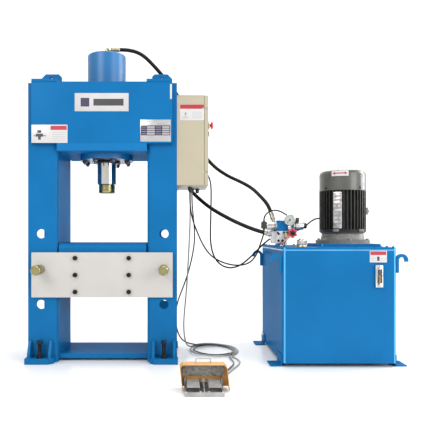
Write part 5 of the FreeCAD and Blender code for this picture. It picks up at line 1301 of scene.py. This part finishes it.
def motor_details():
    """Flange bolts, cover screws, name plates, an eye pad and the lead box's screws."""
    bm = bmesh.new()
    for x, y in around(6, 137, 30, MOTOR):
        hexagon_screw(bm, x, y, 654, 15, 8)
    coat(bm, 0)
    for x, y in around(4, 1, -60):
        turned(bm, [(0, 1), (4, 1), (6.4, 2), (6.8, 1), (6.8, -1)],
               (MOTOR[0] + 129 * x, MOTOR[1] + 129 * y, 946), (x, y, 0), sides=20)
    for x in (1304, 1396):
        for z in (733, 829):
            turned(bm, [(0, 1.4), (2.4, 1.4), (2.4, 3.4), (4.4, 3.4), (5, 2.6), (5, 0)], (x, 195, z),
                   (0, 1, 0), sides=20)
    coat(bm, 1)
    piece("motor_screws", bm, ["cast iron", "black steel"])
    bm = bmesh.new()
    for z in (938.5, 1020.5):
        turned(bm, [(128.6, -2), (130.0, -1.4), (130.0, 1.4), (128.6, 2)], (*MOTOR, z), sides=96)
    turned(bm, [(128.8, -1.6), (129.8, -1.2), (129.8, 1.2), (128.8, 1.6)], (*MOTOR, 1008), sides=96)
    coat(bm, 0)
    for ring in (54, 99):
        turned(bm, [(ring - 1.6, 1045.4), (ring - 1, 1046.8), (ring + 1, 1046.8), (ring + 1.6, 1045.4)],
               (*MOTOR, 0), sides=72)
    for x, y in around(6, 104, centre=MOTOR):
        turned(bm, [(0, 1045.4), (5, 1045.4), (5, 1047.6), (4, 1048.4), (0, 1048.4)], (x, y, 0), sides=16)
    piece("fan_cover_trim", bm, ["motor enamel"])
    bm = bmesh.new()
    curved_plate(bm, 129.4, -133, -92, 1010, 1041, 1.0)
    coat(bm, 0)
    curved_plate(bm, 130.3, -128, -97, 1022.5, 1028.5, 0.4)
    for side, tip in ((-1, -130), (1, -95)):
        point, = around(1, 130.5, tip, MOTOR)
        base, = around(1, 130.9, tip - side * 6, MOTOR)
        out, = around(1, 0.5, tip)
        sheet(bm, [(*point, 1025.5), (*base, 1017), (*base, 1034)], (*out, 0))
    coat(bm, 1)
    piece("turning_arrow_plate", bm, ["white label", "red ink"])
    bm = bmesh.new()
    # The name plate's light and dark blotches are painted reflections.
    block_turned(bm, -118, 129.2, 720, 922, 46, 2.0)
    coat(bm, 0)
    for z in (742, 764, 786, 808, 830, 852, 874, 896):
        block_turned(bm, -118, 130.6, z, z + 7, 36, 0.9)
    coat(bm, 1)
    for z in (728, 914):
        for across in (-17, 17):
            turn = math.radians(-118)
            ball(bm, (MOTOR[0] + 131.4 * math.cos(turn) - across * math.sin(turn),
                      MOTOR[1] + 131.4 * math.sin(turn) + across * math.cos(turn), z), 2.6)
    coat(bm, 2)
    piece("motor_nameplate", bm, ["blotched plate", "grey ink", "bright steel"])
    bm = bmesh.new()
    block(bm, (1476, 4, 800), (1493, 36, 840), 3, 3)
    turned(bm, [(0, 0), (9, 0), (9, 6), (7.6, 7.4), (0, 7.4)], (1493, 20, 820), (1, 0, 0), sides=28)
    for side in (-1, 1):
        block(bm, (1344 + side * 70 - 9, -112 + abs(side) * 8, 700), (1356 + side * 70 + 9, -80, 716), 3)
    piece("motor_pads", bm, ["cast iron"])


def curved_plate(bm, radius, start, end, low, high, thick):
    """A plate bent round the motor between two angles in degrees."""
    turn, before = math.radians(start), set(bm.faces)
    upright = [bm.verts.new(at(1350 + radius * math.cos(turn), 20 + radius * math.sin(turn), z))
               for z in (low, high)]
    bmesh.ops.spin(bm, geom=[*upright, bm.edges.new(upright)], cent=at(*MOTOR, 0), axis=(0, 0, 1),
                   angle=math.radians(end - start), steps=14)
    faces = [face for face in bm.faces if face not in before]
    bmesh.ops.recalc_face_normals(bm, faces=faces)
    bmesh.ops.solidify(bm, geom=faces, thickness=thick * MM)


def block_turned(bm, angle, radius, low, high, width, thick):
    """A flat plate standing on the motor's round side, turned to face out at an angle in degrees."""
    turn = math.radians(angle)
    verts = bmesh.ops.create_cube(bm, size=1.0)["verts"]
    bmesh.ops.scale(bm, vec=(thick * MM, width * MM, (high - low) * MM), verts=verts)
    place = Matrix.Translation(at(1350 + radius * math.cos(turn), 20 + radius * math.sin(turn),
                                  (low + high) / 2)) @ Matrix.Rotation(turn, 4, "Z")
    bmesh.ops.transform(bm, matrix=place, verts=verts)
    soften(bm, verts_edges(verts), 0.4)


# ---------------------------------------------------------------- foot switch

def foot_switch():
    """Ribbed treads, a ribbed lining in the hood, rolled hood edges and the base's screws."""
    for body, middle in (("left_tread", 471), ("right_tread", 565)):
        bm = bmesh.new()
        for k in range(14):
            y = -786 + k * 7
            rise = 38.2 + (y + 794) * 4 / 112
            block(bm, (middle - 25, y, rise), (middle + 25, y + 3.6, rise + 2.0), 0.8)
        for side in (-1, 1):
            block(bm, (middle + side * 26.6 - 1.2, -790, 38.4), (middle + side * 26.6 + 1.2, -690, 40.4),
                  0.6)
        coat(bm, 0)
        # A thin black strip under each tread's front edge: painted shade in the gap below the tread.
        block(bm, (middle - 27, -795.2, 26.2), (middle + 27, -793.8, 33), 0.4)
        coat(bm, 1)
        piece(f"{body}_ribs", bm, ["tread iron", "black rubber"], body=body)
    bm = bmesh.new()
    block(bm, (424, -674.5, 52), (612, -670.2, 97), 1)
    for k in range(26):
        x = 427 + k * 7.2
        block(bm, (x, -677, 54), (x + 3.4, -674, 95), 0.8)
    piece("hood_lining", bm, ["lining"])
    bm = bmesh.new()
    for x in (440, 596):
        for y in (-808, -690):
            turned(bm, [(0, 1), (2.4, 1), (3.4, 2.4), (5.4, 1.6), (5.8, 0)], (x, y, 18), sides=20)
    for x in (500, 536):
        hexagon(bm, (x, -808, 18), (x, -808, 22), 8, edge=0.6)
    for x in (434, 601):
        rod(bm, (x - 1.6, -690, 33), (x + 3.6, -690, 33), 6, sides=24, edge=1)
    for x in (485, 551):
        turned(bm, [(2.3, 0), (5, 0), (5, 2), (4, 3), (2.3, 3)], (x, -678, 115), sides=20)
        rod(bm, (x, -678, 115.4), (x, -678, 131), 2.3, sides=20)
        turned(bm, [(0, -2.3), (1.2, -2), (2, -1.2), (2.3, 0), (2, 1.2), (1.2, 2), (0, 2.3)],
               (x, -678, 131), sides=20)
    rod(bm, (485, -678, 131), (551, -678, 131), 2.3, sides=20)
    coat(bm, 0)
    for x in (443, 593):
        for y in (-806, -680):
            rod(bm, (x, y, 0.2), (x, y, 3), 7, sides=20, edge=0.6)
    coat(bm, 1)
    piece("foot_switch_screws", bm, ["bright steel", "black rubber"])


def sleeves():
    """Tapered bend guards where the leads enter their glands."""
    bm = bmesh.new()
    for (x, y, z), way, r in (((592, -641, 16), (0, 1, 0), 4.1), ((566, -641, 16), (0, 1, 0), 4.1)):
        a = Vector((x, y, z))
        turned(bm, [(r, -2), (8, -2), (8, 4), (6.8, 5), (6.8, 8), (6.2, 9), (6.2, 12), (5.6, 13),
                    (5.6, 16), (5.0, 17), (5.0, 20), (r, 22)], tuple(a), way, sides=24)
    piece("bend_guards", bm, ["black rubber"])


class PRESS_OT_frame_parts(bpy.types.Operator):
    """Makes the frame's welds and bolts, and the studs of the cylinder's flange"""
    bl_idname = "press.frame_parts"
    bl_label = "Frame welds and bolts"

    def execute(self, context):
        welds(millimetres(context.scene.press_sizes.weld))
        foot_bolts()
        flange_nuts()
        return {"FINISHED"}


class PRESS_OT_table_parts(bpy.types.Operator):
    """Makes the table's screws, the pins' grips and the pressing nose"""
    bl_idname = "press.table_parts"
    bl_label = "Table, pins and nose"

    def execute(self, context):
        table_sockets()
        pins()
        nose_details()
        return {"FINISHED"}


class PRESS_OT_labels(bpy.types.Operator):
    """Makes the blank plates and stickers, and a white strip that is a painted highlight"""
    bl_idname = "press.labels"
    bl_label = "Plates and stickers"

    def execute(self, context):
        labels()
        return {"FINISHED"}


class PRESS_OT_control_box(bpy.types.Operator):
    """Makes the control box's trim, buttons and cable glands"""
    bl_idname = "press.control_box"
    bl_label = "Control box"

    def execute(self, context):
        box_details()
        buttons()
        gland_nuts()
        return {"FINISHED"}


class PRESS_OT_hose_ends(bpy.types.Operator):
    """Makes the elbows, nuts and sleeves of the hoses, and the bend guards of the leads"""
    bl_idname = "press.hose_ends"
    bl_label = "Hose ends"

    def execute(self, context):
        hose_ends()
        sleeves()
        return {"FINISHED"}


class PRESS_OT_valves(bpy.types.Operator):
    """Makes the solenoid valve, the manifold, the gauge and the relief valve with its wheel"""
    bl_idname = "press.valves"
    bl_label = "Valves and gauge"

    def execute(self, context):
        valve_details()
        gauge()
        wheel()
        return {"FINISHED"}


class PRESS_OT_tank_parts(bpy.types.Operator):
    """Makes the tank's screws, the seal round its lid in a painted highlight blue, welds, filler and level
    gauge
    """
    bl_idname = "press.tank_parts"
    bl_label = "Tank parts"

    def execute(self, context):
        tank_details()
        filler()
        oil_gauge()
        return {"FINISHED"}


class PRESS_OT_motor_parts(bpy.types.Operator):
    """Makes the motor's screws, trim, plates and pads"""
    bl_idname = "press.motor_parts"
    bl_label = "Motor parts"

    def execute(self, context):
        motor_details()
        return {"FINISHED"}


class PRESS_OT_foot_switch(bpy.types.Operator):
    """Makes the foot switch's ribs, lining and screws"""
    bl_idname = "press.foot_switch"
    bl_label = "Foot switch"

    def execute(self, context):
        foot_switch()
        return {"FINISHED"}


class PressPanel(bpy.types.Panel):
    """Lists the steps that finish the press"""
    bl_idname = "VIEW3D_PT_press"
    bl_label = "Hydraulic press"
    bl_space_type = "VIEW_3D"
    bl_region_type = "UI"
    bl_category = "Press"

    def draw(self, context):
        for group in SETTINGS:
            for name in group.__annotations__:
                self.layout.prop(getattr(context.scene, SETTINGS[group]), name)
        for operator in STEPS:
            self.layout.operator(operator.bl_idname)


SETTINGS = {PressSizes: "press_sizes", PressColours: "press_colours"}
STEPS = (PRESS_OT_camera, PRESS_OT_finishes, PRESS_OT_hoses, PRESS_OT_coil, PRESS_OT_frame_parts,
         PRESS_OT_table_parts, PRESS_OT_labels, PRESS_OT_control_box, PRESS_OT_hose_ends, PRESS_OT_valves,
         PRESS_OT_tank_parts, PRESS_OT_motor_parts, PRESS_OT_foot_switch, PRESS_OT_stage)


def register():
    """Adds the classes and the two groups of settings."""
    for item in (*SETTINGS, *STEPS, PressPanel):
        bpy.utils.register_class(item)
    for group, name in SETTINGS.items():
        setattr(bpy.types.Scene, name, PointerProperty(type=group))


def unregister():
    """Takes them away again."""
    for name in SETTINGS.values():
        delattr(bpy.types.Scene, name)
    for item in reversed((*SETTINGS, *STEPS, PressPanel)):
        bpy.utils.unregister_class(item)


def main():
    """Runs every step in order."""
    register()
    for step in STEPS:
        section, call = step.bl_idname.split(".")
        getattr(getattr(bpy.ops, section), call)()


if __name__ == "__main__":
    main()
